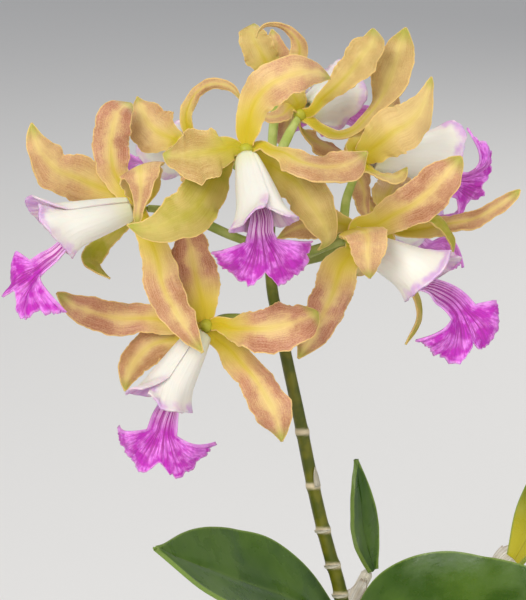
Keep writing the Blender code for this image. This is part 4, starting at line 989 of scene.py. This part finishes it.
def dress_blooms(part, add_part, solid, finishes, thickness=None):
    """A piece for every bloom, each in the place of its bloom's solid of that name."""
    for number, (name, bloom) in enumerate(BLOOMS.items()):
        bloom["number"] = number
        shape = new_shape()
        add_part(shape, bloom)
        finish_piece(f"{name}_{part}", shape, finishes, [f"{name}_bloom_{solid}"], thickness)


dress_blooms("tepals", add_tepals, "petals", [petal_face, petal_back], PETAL_THICKNESS)

# %% [markdown]
# ## The rolled lip
# The lip's two side lobes roll round the column into a trumpet whose edges lap on the column's side. A grid
# does it in one piece: across becomes an angle of a little more than a full turn, and along runs down the
# trumpet. The floor is cut short, so that the fan can hang out of the mouth. The inner free edge is pressed
# against the outer one, so that no dark gap shows between them, until both flare and crimp at the mouth.

# %% Trumpets
TUBE_LENGTH, TUBE_BASE_RADIUS, TUBE_MOUTH_RADIUS = 43.0, 4.5, 12.0
WRAP_DEGREES, MOUTH_OPENING_DEGREES = 197.0, 22.0
FLOOR_CUT, CORNER_CUT = 0.34, 0.09
FLARE_START = 0.7
MOUTH_FLARE, MOUTH_LIP, MOUTH_WAVE, MOUTH_WAVES = 1.4, 1.3, 0.8, 2.5
LAP_SHIFT, SEAM_PRESS = 0.95, 0.95
LIP_THICKNESS = 0.7
LIP_FOOT = HEART_RADIUS + 1.0
TUBE_CELLS = (80, 40)


def lip_axes(bloom):
    """World directions of a lip: along its tube, towards the column's side, and sideways."""
    along = spray_way(bloom["lip"])
    top = spray_way(bloom["column_side"])
    top = (top - along * top.dot(along)).normalized()
    return along, top, along.cross(top)


def tube_radius(z):
    """Radius of the lip's tube at a distance z from its foot."""
    return TUBE_BASE_RADIUS + (TUBE_MOUTH_RADIUS - TUBE_BASE_RADIUS) * (z / TUBE_LENGTH) ** 0.85


def add_trumpet(shape, bloom):
    """The side lobes of the lip, rolled into a tube."""
    along, top, side = lip_axes(bloom)
    foot = in_spray(bloom["heart"]) + along * LIP_FOOT
    seed = 5.0 * bloom["number"]

    def place(v, s):
        reach = TUBE_LENGTH * (1.0 - FLOOR_CUT * math.cos(0.5 * math.pi * v) ** 2)
        reach *= 1.0 - CORNER_CUT * stepped(abs(v), 0.78, 1.0)
        reach *= 1.0 + stepped(s, FLARE_START, 1.0) * ripples(v, (0.02, 7.0, seed), (0.012, 21.0, seed + 1.0))
        flare = max(0.0, (s - FLARE_START) / (1.0 - FLARE_START))
        closed = 1.0 - stepped(s, 0.62, 0.85)
        radius = tube_radius(s * reach) + LAP_SHIFT * v - SEAM_PRESS * closed * stepped(v, 0.78, 0.97)
        radius += MOUTH_FLARE * flare ** 2 + MOUTH_LIP * flare ** 3
        radius += MOUTH_WAVE * flare * math.sin(2 * math.pi * MOUTH_WAVES * v)
        radius += flare ** 2 * ripples(v, (1.0, 6.0, seed), (0.7, 17.0, seed + 3.0))
        radius += flare * stepped(abs(v), 0.75, 1.0) * (1.3 + 1.6 * wobble(8.0 * s, seed + 4.0 * v))
        angle = math.radians(WRAP_DEGREES - MOUTH_OPENING_DEGREES * flare) * v
        spot = foot + along * (s * reach) + (side * math.sin(angle) - top * math.cos(angle)) * radius
        return spot, blade_edge(3.4 * radius, v, (1.0 - s) * reach)

    add_grid(shape, TUBE_CELLS, place)


dress_blooms("lip_trumpet", add_trumpet, "lip", [lip_inside, lip_outside], LIP_THICKNESS)

# %% [markdown]
# ## The purple fan
# The middle lobe starts as a narrow neck on the trumpet's floor and opens beyond the mouth into a broad,
# notched fan that bends down. The grid is laid straight along the neck, then spreads like rays. Its outer
# edge is torn into fine teeth and thrown into folds that deepen outwards, so that the outline looks ragged
# from every side.

# %% Fans
LOBE_HALF_WIDTH, LOBE_REACH, LOBE_SPREAD = 14.5, 21.0, math.radians(82.0)
NECK_ROOT_HALF_WIDTH, NECK_HALF_WIDTH, NECK_RISE, NECK_SHARE = 3.8, 6.4, 2.4, 0.4
NECK_INSIDE = (20.0, 27.0)
NECK_STRAIGHT, NECK_TURN = 12.0, 10.0
NOTCH_DEPTH, NOTCH_HALF, DROOP = 0.36, 0.16, 0.018
FOLD_HEIGHT, FOLD_WAVES, FOLD_PHASE = 2.4, 1.3, 0.8
LOBE_CELLS = (80, 44)


def add_fan(shape, bloom):
    """The lip's middle lobe: neck, then ruffled fan."""
    along, top, _ = lip_axes(bloom)
    heart = Vector(bloom["heart"])
    foot = in_spray(heart) + along * LIP_FOOT
    seed = 11.0 * bloom["number"]
    inside = [foot + along * z - top * (tube_radius(z) - NECK_RISE) for z in NECK_INSIDE]
    line = smooth_line(inside + [in_spray(heart + Vector(p)) for p in bloom["lobe"]])
    runs = runs_along(line)
    last = carried_rows(line, top)[-1]
    facing = np.array(spray_way(bloom["lobe_face"]))
    turn = math.degrees(math.atan2(-(facing @ last[3:6]), facing @ last[6:]))
    turns = [turn * stepped(run, NECK_STRAIGHT, NECK_STRAIGHT + NECK_TURN) for run in runs]
    rows = carried_rows(line, top, turns)
    neck = runs[-1] - LOBE_REACH
    floor = tube_radius(NECK_INSIDE[0]) - NECK_RISE

    def place(v, s):
        if s <= NECK_SHARE:
            run = np.interp(s, (0.0, 0.5 * NECK_SHARE, NECK_SHARE), (0.0, NECK_STRAIGHT, neck))
            sideways = np.interp(s, (0.0, NECK_SHARE), (NECK_ROOT_HALF_WIDTH, NECK_HALF_WIDTH)) * v
            out = 0.0
        else:
            out = (s - NECK_SHARE) / (1.0 - NECK_SHARE)
            edge = 1.0 - NOTCH_DEPTH * bump(v, NOTCH_HALF)
            edge *= 1.0 + ripples(v, (0.12, 5.0, seed), (0.10, 15.0, seed), (0.07, 38.0, seed)) * out ** 3
            run = neck + LOBE_REACH * out * edge * math.cos(LOBE_SPREAD * v)
            sideways = NECK_HALF_WIDTH * v + LOBE_HALF_WIDTH * out * edge * math.sin(LOBE_SPREAD * v)
        curl = sideways ** 2 / (2.0 * floor) * (1.0 - out) - DROOP * out * sideways ** 2
        curl += FOLD_HEIGHT * out ** 2 * math.sin(2 * math.pi * FOLD_WAVES * v + FOLD_PHASE)
        curl += out ** 3 * ripples(v, (2.0, 4.5, seed + 9.0), (1.7, 13.0, seed + 5.0))
        curl += 0.35 * wobble(0.5 * sideways, 0.25 * run, seed) * out
        spot = beside(read_row(rows, run / runs[-1]), sideways, curl)
        return spot, blade_edge(6.0 + 14.0 * out, v, (1.0 - out) * LOBE_REACH)

    add_grid(shape, LOBE_CELLS, place)


dress_blooms("lip_fan", add_fan, "lip_lobe", [fan_face, fan_back], LIP_THICKNESS)

# %% [markdown]
# ## Columns
# Inside each trumpet stands the column, a club of joined stamen and style with a small cap at its tip. Only
# its end can be glimpsed in the mouth. A sphere is drawn out to an ellipsoid, its underside hollowed a
# little, and a second, smaller one makes the cap.

# %% Columns
COLUMN_LENGTH, COLUMN_RADIUS, COLUMN_RISE = 25.0, 2.8, 1.2
CAP_RADII, CAP_SINK, CAP_DROP = (1.9, 2.1, 1.9), 2.2, 0.6
HOLLOW_DEPTH = 0.5


def add_column(shape, bloom):
    """The club and its cap."""
    along, top, side = lip_axes(bloom)
    reach = HEART_RADIUS + COLUMN_RISE + 0.5 * COLUMN_LENGTH
    middle = in_spray(bloom["heart"]) + along * reach + top * COLUMN_RISE
    axes = Matrix((top, side, along)).transposed()
    for vert in add_ball(shape, middle, (COLUMN_RADIUS, COLUMN_RADIUS, 0.5 * COLUMN_LENGTH), axes, (24, 24)):
        below = -(Vector(vert.co) / MM - middle).dot(top)
        vert.co += top * MM * HOLLOW_DEPTH * stepped(below, 0.8, COLUMN_RADIUS)
    tip = middle + along * (0.5 * COLUMN_LENGTH - CAP_SINK) - top * CAP_DROP
    add_ball(shape, tip, CAP_RADII, axes, (20, 12))


dress_blooms("column_club", add_column, "column", [column_cream])

# %% [markdown]
# ## Flower stem
# The stem rises from its cane through a few nodes, each a slight swelling with a cream ring. Four of the
# five carry a small papery bract. Nine stalks leave the stem near the top, and each thickens into the
# ribbed ovary behind its bloom. They are rods in one mesh, the stalks paler than the stem. The bracts are
# sheets bent part of the way round.

# %% Stem and stalks
STEM_RADIUS, STALK_RADIUS, OVARY_RADIUS, HEART_BALL = 2.9, 1.5, 2.1, 3.0
NODE_RISES = (-131.0, -117.5, -101.5, -81.5, -57.5)
NODE_SWELL, NODE_LENGTH, RING_HALF = 0.16, 0.008, 1.3
STALK_GREENS = {"top": 1.0, "top_back": 0.9, "upper_right": 0.8, "centre": 0.6}
USUAL_STALK_GREEN, HEART_SHARE = 0.45, 1.3
STALK_SINK = 0.8

stem_line = smooth_line([in_spray(p) for p in STEM_LINE])
stem_rises = [rise_of(p) for p in stem_line]
node_shares = [float(np.interp(rise, stem_rises, np.linspace(0.0, 1.0, STATIONS))) for rise in NODE_RISES]
print("stem nodes at", [round(share, 3) for share in node_shares])


def stem_radius(angle, t):
    """Stem radius in mm, swollen at its nodes."""
    swollen = sum(bump(t - share, NODE_LENGTH) for share in node_shares)
    return STEM_RADIUS * (1.08 - 0.3 * t) * (1.0 + NODE_SWELL * swollen)


def stalk_radius(angle, t):
    """Stalk radius in mm, which ends in the ribbed ovary."""
    body = STALK_RADIUS + (OVARY_RADIUS - STALK_RADIUS) * math.sin(math.pi * t)
    return body * (1.0 + 0.07 * stepped(t, 0.25, 0.6) * math.cos(3.0 * angle))


shape = new_shape()
add_rod(shape, stem_line, stem_radius, (20, 220))
ring, young = (shape.verts.layers.float[name] for name in (FLUSH_LAYER, GREEN_LAYER))
for vert in shape.verts:
    rise = rise_of(Vector(vert.co) / MM)
    vert[ring] = max(bump(rise - node, RING_HALF, 4) for node in NODE_RISES)
    vert[young] = 0.35 * stepped(rise, -20.0, 60.0)
for name, bloom in BLOOMS.items():
    heart = in_spray(bloom["heart"])
    end = heart + stalk_way(bloom) * (HEART_RADIUS - STALK_SINK)
    line = smooth_line([in_spray(p) for p in bloom["stalk"]] + [end])
    add_rod(shape, line, stalk_radius, (16, 40), (0.0, STALK_GREENS.get(name, USUAL_STALK_GREEN)))
    for vert in add_ball(shape, heart, (HEART_BALL,) * 3, Matrix.Identity(3), (16, 10)):
        vert[young] = HEART_SHARE
finish_piece("stem_and_stalks", shape, [stem_green], ["flower_stem"])

# %% Bracts
BRACTS = ((2.0, 85.0, -25.0), (2.0, 85.0, -25.0), (1.7, 85.0, -25.0), (9.5, 27.0, 38.0))
BRACT_GAP, BRACT_OPENING = 0.35, 0.5
FRESH = (0.0, 1.0)

shape = new_shape()
stem_rows = carried_rows(stem_line, (0.0, -1.0, 0.2))
stem_length = runs_along(stem_line)[-1]
for share, (height, spread, turned) in zip(node_shares, BRACTS):

    def place(u, t):
        angle = math.radians(turned) + math.radians(spread) * u * (1.0 - t ** 2.2)
        radius = STEM_RADIUS * (1.1 - 0.3 * share) * 1.12 + BRACT_GAP + BRACT_OPENING * t ** 2
        row = read_row(stem_rows, share + t * height / stem_length)
        return around(row, angle, radius), (1.0 - abs(u)) * 9.0

    add_grid(shape, (12, 10), place, FRESH)
finish_piece("stem_bracts", shape, [sheath_paper], (), 0.3)

# %% [markdown]
# ## Leaves
# Orchid leaves are thick straps with a channel along the middle. They come from the same blade as the
# petals, with more thickness, a sharper groove and almost no waves. A bevel rounds the rims, where a
# leathery leaf catches light.

# %% Leaves
LEAF_THICKNESS, LEAF_FOOT_SINK, LEAF_CUP = 1.8, 3.0, 0.16
LEAF_CELLS = (28, 72)
CHANNEL_DEPTH, CHANNEL_HALF = 0.9, 0.06
RIM_ROUNDING, RIM_ANGLE = 0.5, math.radians(50.0)
YOUNG_LEAVES = {"side_up": 1.0, "side_out": 0.6}
LEAF_PROFILE = (0.24, 0.65, 0.90, 0.885, 0.75, 0.56, 0.2)

for number, (name, (points, width, face, turns)) in enumerate(LEAVES.items()):
    start, onward = Vector(points[0]), Vector(points[1]) - Vector(points[0])
    line = smooth_line([start - onward.normalized() * LEAF_FOOT_SINK] + points[1:])
    rows, length = carried_rows(line, face, turns), runs_along(line)[-1]
    widths = [width * share for share in LEAF_PROFILE]

    def place(u, t):
        half = half_width(widths, t)
        lift = LEAF_CUP * half * u * u - CHANNEL_DEPTH * bump(u, CHANNEL_HALF) * min(1.0, 4.0 * (1.0 - t))
        lift += 0.8 * wobble(3.0 * t, 1.5 * u, number) + 0.5 * wobble(8.0 * t, u, number + 5.0) * u * u
        return beside(read_row(rows, t), u * half, lift), blade_edge(half, u, length * (1.0 - t))

    shape = new_shape()
    add_grid(shape, LEAF_CELLS, place, (0.0, YOUNG_LEAVES.get(name, 0.0)))
    sides = [leaf_top, leaf_under]
    leaf = finish_piece("blade_" + name, shape, sides, ["leaf_" + name], LEAF_THICKNESS)
    soft_rim = leaf.modifiers.new("soft rim", "BEVEL")
    soft_rim.width = RIM_ROUNDING * MM
    soft_rim.segments = 2
    soft_rim.limit_method = "ANGLE"
    soft_rim.angle_limit = RIM_ANGLE

# %% [markdown]
# ## Canes and their sheaths
# A cattleya's cane is a stored-up stem: ribbed when it is old, smooth when young, ringed where leaf sheaths
# were joined. Dry sheaths still wrap it like paper. A cane is a rod whose radius carries ribs and rings. A
# sheath is a sheet that is bent almost round the cane, a little larger, with a torn and pointed upper edge.

# %% Canes
# For each cane: how deep its ribs are, how papery it is, and how yellow.
CANE_LOOKS = {
    "lead": (0.035, 0.0, 0.1), "young": (0.0, 0.9, 0.5), "side": (0.02, 0.0, 0.75), "old": (0.06, 0.0, 0.15),
    "back": (0.06, 0.0, 0.25),
}
CANE_RINGS, RING_SWELL, RING_LENGTH = (0.30, 0.48, 0.66, 0.84), 0.05, 0.006
RIB_COUNT = 9.0
CANE_CELLS = (54, 120)


def bare_radius(name, t):
    """Radius of a cane without its ribs and rings."""
    radii = [station[3] for station in CANES[name]]
    return float(np.interp(t, np.linspace(0.0, 1.0, len(radii)), radii))


cane_lines = {name: smooth_line([station[:3] for station in stations]) for name, stations in CANES.items()}
for name, (ribs, papery, yellow) in CANE_LOOKS.items():

    def cane_radius(angle, t):
        rings = RING_SWELL * sum(bump(t - ring, RING_LENGTH) for ring in CANE_RINGS)
        ribbed = ribs * stepped(t, 0.2, 0.35) * math.cos(RIB_COUNT * angle + 2.0 * math.sin(3.0 * t))
        return bare_radius(name, t) * (1.0 + ribbed + rings)

    shape = new_shape()
    add_rod(shape, cane_lines[name], cane_radius, CANE_CELLS, (papery, yellow))
    finish_piece("ribbed_cane_" + name, shape, [cane_green], ["cane_" + name])

# %% Sheaths
# For each sheath: where it starts and ends along its cane, and the quarter turn at which its middle is.
SHEATHS = {
    "lead": [(0.22, 0.62, 0), (0.60, 0.97, 2)],
    "young": [(0.30, 0.68, 1), (0.60, 0.99, 0)],
    "side": [(0.24, 0.55, 2), (0.52, 0.84, 1), (0.78, 0.99, 0)],
    "old": [(0.34, 0.78, 1)],
    "back": [(0.34, 0.80, 3)],
}
SHEATH_HALF_WRAP = math.radians(188.0)
SHEATH_GAP, SHEATH_LAP, SHEATH_OPENING, SHEATH_CREASE = 0.55, 0.35, 0.8, 0.25
CANE_USUAL_LENGTH = 120.0
SHEATH_CELLS = (48, 40)

for name, wraps in SHEATHS.items():
    rows = carried_rows(cane_lines[name], ROD_FACE)
    shape = new_shape()
    for number, (low, high, quarter) in enumerate(wraps):

        def place(u, t):
            peak = 1.0 - 0.45 * abs(u) ** 1.5 * t - 0.05 * t * (1.0 + wobble(9.0 * u, low, number))
            share = low + (high - low) * t * peak
            angle = math.radians(90.0 * quarter) + SHEATH_HALF_WRAP * u
            radius = bare_radius(name, share) + SHEATH_GAP + SHEATH_LAP * max(u, 0.0)
            radius += SHEATH_OPENING * t ** 4 + SHEATH_CREASE * wobble(7.0 * t, 4.0 * u, number)
            return around(read_row(rows, share), angle, radius), (1.0 - t) * CANE_USUAL_LENGTH * (high - low)

        add_grid(shape, SHEATH_CELLS, place)
    finish_piece("paper_sheath_" + name, shape, [sheath_paper], (), 0.25)

# %% [markdown]
# ## Bark chips and roots
# The filling's solid stays as the bed, and loose chips lie on it: rough blocks with bevelled corners,
# turned and tilted at random from one seed. Roots run over and between them. Each is a rod along a
# wandering line that keeps to the height of the bark.

# %% Chips
BARK_TOP, BED_RADIUS = 93.0, 53.0
LUMP_HEIGHT, BARK_CROWN = 2.2, 0.0012
CHIP_COUNT, CHIP_SEED = 260, 4
CHIP_UNEVENNESS, CHIP_WEAR = 1.2, 0.8


def bark_height(x, y):
    """Height of the bark's surface in millimetres."""
    lumps = math.sin(0.21 * x + 1.3 * math.sin(0.13 * y)) * math.cos(0.24 * y + 1.1 * math.sin(0.17 * x))
    return BARK_TOP + LUMP_HEIGHT * lumps - BARK_CROWN * (x * x + y * y)


dice = random.Random(CHIP_SEED)
shape = new_shape()
shade = shape.verts.layers.float[FLUSH_LAYER]
for chip in range(CHIP_COUNT):
    spread, turn = BED_RADIUS * math.sqrt(dice.random()), dice.uniform(0.0, 2 * math.pi)
    x, y = spread * math.cos(turn), spread * math.sin(turn)
    size = Vector((dice.uniform(8.0, 15.0), dice.uniform(6.0, 10.0), dice.uniform(2.5, 5.0)))
    tilt = Matrix.Rotation(dice.uniform(0.0, 6.3), 4, "Z") @ Matrix.Rotation(dice.gauss(0.0, 0.35), 4, "X")
    tilt = tilt @ Matrix.Rotation(dice.gauss(0.0, 0.3), 4, "Y")
    spot = Matrix.Translation(Vector((x, y, bark_height(x, y) + dice.uniform(-0.5, 2.0))) * MM)
    block = bmesh.ops.create_cube(shape, size=1.0, matrix=spot @ tilt @ Matrix.Diagonal((*(size * MM), 1.0)))
    for vert in block["verts"]:
        shift = Vector((dice.uniform(-1, 1), dice.uniform(-1, 1), dice.uniform(-0.6, 0.6)))
        vert.co += shift * CHIP_UNEVENNESS * MM
    edges = list({edge for vert in block["verts"] for edge in vert.link_edges})
    worn = bmesh.ops.bevel(shape, geom=edges, offset=CHIP_WEAR * MM, offset_type="OFFSET", affect="EDGES",
                           segments=1, profile=0.5, material=-1)
    brown = dice.random()
    for vert in worn["verts"]:
        vert[shade] = brown
finish_piece("bark_chips", shape, [bark_brown])
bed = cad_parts["bark"]
bed.data.materials.clear()
bed.data.materials.append(bark_brown)

# %% Roots
# For each root: the points that it runs over, seen from above, and its radius.
ROOTS = [
    ([(-16, 0), (-28, -10), (-38, -26), (-30, -42)], 2.3),
    ([(-12, 4), (-30, 14), (-46, 10), (-52, -8)], 2.0),
    ([(30, -10), (20, -26), (4, -34), (-12, -46)], 2.2),
    ([(34, 12), (48, 2), (50, -16), (42, -32)], 2.0),
    ([(8, 20), (-4, 38), (-24, 46), (-36, 34)], 2.1),
    ([(28, 38), (12, 48), (-6, 52), (-16, 40)], 1.8),
]
ABOVE_BARK = (4.0, 3.5, 3.0, -1.0)
ROOT_WANDER = 2.5
UPWARDS = (0.0, 0.1, 1.0)

shape = new_shape()
for number, (points, thickness) in enumerate(ROOTS):
    line = smooth_line([(x, y, bark_height(x, y) + above) for (x, y), above in zip(points, ABOVE_BARK)])
    for station, point in enumerate(line):
        drift = [wobble(0.3 * station, number), wobble(0.3 * station, number + 9.0), 0.0]
        point += ROOT_WANDER * np.array(drift)

    def root_radius(angle, t):
        return thickness * (1.0 + 0.08 * wobble(14.0 * t, math.cos(angle), number)) * (1.0 - 0.35 * t)

    add_rod(shape, line, root_radius, (12, 60), (0.0, float(number % 2)), UPWARDS)
finish_piece("roots", shape, [root_silver])

# %% [markdown]
# ## The pot
# A plain clay pot is turned: its outline is a short run of points, and the spin operator sweeps it round
# the upright axis and merges where it meets itself. A bevel on the outline's corners softens the rim, as a
# thumb would. The drain holes are cut with upright cylinders, as in the solid.

# %% Pot
POT_HEIGHT, POT_TOP_RADIUS, POT_FOOT_RADIUS, POT_WALL, POT_FLOOR = 104.0, 69.0, 47.0, 5.5, 6.5
RIM_HEIGHT, RIM_PROUD = 24.0, 4.5
SHARP_CORNER, CORNER_ROUNDING = 0.35, 1.0


def outer_radius(height):
    """Outside radius of the pot at a height."""
    return POT_FOOT_RADIUS + (POT_TOP_RADIUS - POT_FOOT_RADIUS) * height / POT_HEIGHT


step = POT_HEIGHT - RIM_HEIGHT
rim_radius = POT_TOP_RADIUS + RIM_PROUD
outline = [
    (0.0, POT_FLOOR), (outer_radius(POT_FLOOR) - POT_WALL, POT_FLOOR),
    (outer_radius(POT_HEIGHT - 2.0) - POT_WALL, POT_HEIGHT - 2.0),
    (POT_TOP_RADIUS - POT_WALL + 1.5, POT_HEIGHT), (rim_radius - 2.0, POT_HEIGHT),
    (rim_radius, POT_HEIGHT - 2.5), (outer_radius(step) + RIM_PROUD, step), (outer_radius(step), step - 3.0),
    (POT_FOOT_RADIUS + 1.0, 2.0), (POT_FOOT_RADIUS - 1.0, 0.0), (0.0, 0.0),
]
shape = new_shape()
corners = [shape.verts.new((r * MM, 0.0, z * MM)) for r, z in outline]
profile = [shape.edges.new(pair) for pair in zip(corners, corners[1:])]
bmesh.ops.spin(shape, geom=corners + profile, cent=(0, 0, 0), axis=(0, 0, 1), angle=2 * math.pi, steps=96,
               use_merge=True)
bmesh.ops.remove_doubles(shape, verts=shape.verts, dist=SAME_SPOT)
bmesh.ops.recalc_face_normals(shape, faces=shape.faces)
sharp = [edge for edge in shape.edges if len(edge.link_faces) == 2 and edge.calc_face_angle() > SHARP_CORNER]
bmesh.ops.bevel(shape, geom=sharp, offset=CORNER_ROUNDING * MM, offset_type="OFFSET", affect="EDGES",
                segments=3, profile=0.5, material=-1)
pot = finish_piece("turned_pot", shape, [fired_clay], ["pot"])

# %% Drain holes
DRAIN_RADIUS, DRAIN_RING_RADIUS, DRAIN_COUNT = 5.0, 27.0, 4

for number in range(DRAIN_COUNT):
    angle = 2 * math.pi * (number + 0.5) / DRAIN_COUNT
    spot = Matrix.Translation(Vector((math.cos(angle), math.sin(angle), 0.0)) * DRAIN_RING_RADIUS * MM)
    hole, radius = bmesh.new(), DRAIN_RADIUS * MM
    bmesh.ops.create_cone(hole, cap_ends=True, segments=32, radius1=radius, radius2=radius,
                          depth=4 * POT_FLOOR * MM, matrix=spot)
    drill = add_object(f"drain_{number}", mesh_of(f"drain_{number}", hole))
    cut = pot.modifiers.new("drain", "BOOLEAN")
    cut.operation = "DIFFERENCE"
    cut.object = drill
    bpy.context.view_layer.objects.active = pot
    with bpy.context.temp_override(object=pot, active_object=pot):
        bpy.ops.object.modifier_apply(modifier=cut.name)
    bpy.data.objects.remove(drill)
print("pot faces after drilling:", len(pot.data.polygons))

# %% [markdown]
# ## Floor and light
# The plant stands on a plain pale floor, large enough to fill the picture. Soft light from large lamps
# keeps the petals' shadows gentle. The key lamp is high on the left and a little in front, weaker ones fill
# from the right and from beside the camera, and one from behind catches edges. The surroundings add an
# even, slightly cool light.

# %% Floor
FLOOR_SIZE = 24.0
FLOOR_PAINT = (0.80, 0.79, 0.77, 1.0)

shape = bmesh.new()
bmesh.ops.create_grid(shape, x_segments=1, y_segments=1, size=0.5 * FLOOR_SIZE)
floor = add_object("floor", mesh_of("floor", shape))
floor.data.materials.append(Finish("floor_paint", 0.85, charted=False, Base_Color=FLOOR_PAINT).material)
print("floor:", FLOOR_SIZE, "m across")

# %% Lamps and surroundings
# For each lamp: its place and size in metres, its power in watts, and its colour.
LAMPS = {
    "key": ((-1.1, -1.5, 2.0), 1.3, 38.0, (1.0, 0.98, 0.95)),
    "fill": ((1.8, -1.4, 1.2), 1.8, 16.0, (0.95, 0.97, 1.0)),
    "front": ((-0.3, -2.6, 1.1), 1.2, 15.0, (1.0, 0.99, 0.97)),
    "rim": ((0.9, 1.8, 1.8), 1.2, 18.0, (1.0, 0.98, 0.94)),
}
COOL_WHITE, STUDIO_STRENGTH = (0.93, 0.95, 1.0, 1.0), 0.42

for name, (spot, size, power, colour) in LAMPS.items():
    lamp = bpy.data.lights.new(name, "AREA")
    lamp.size = size
    lamp.energy = power
    lamp.color = colour
    stand = add_object(name, lamp)
    stand.location = spot
    stand.rotation_euler = (SPRAY_ORIGIN * MM - Vector(spot)).to_track_quat("-Z", "Y").to_euler()

world = bpy.data.worlds.new("studio")
world.use_nodes = True
background = world.node_tree.nodes["Background"]
background.inputs["Color"].default_value = COOL_WHITE
background.inputs["Strength"].default_value = STUDIO_STRENGTH
bpy.context.scene.world = world
bpy.context.scene.view_settings.view_transform = "Standard"
print("lamps:", len(LAMPS))
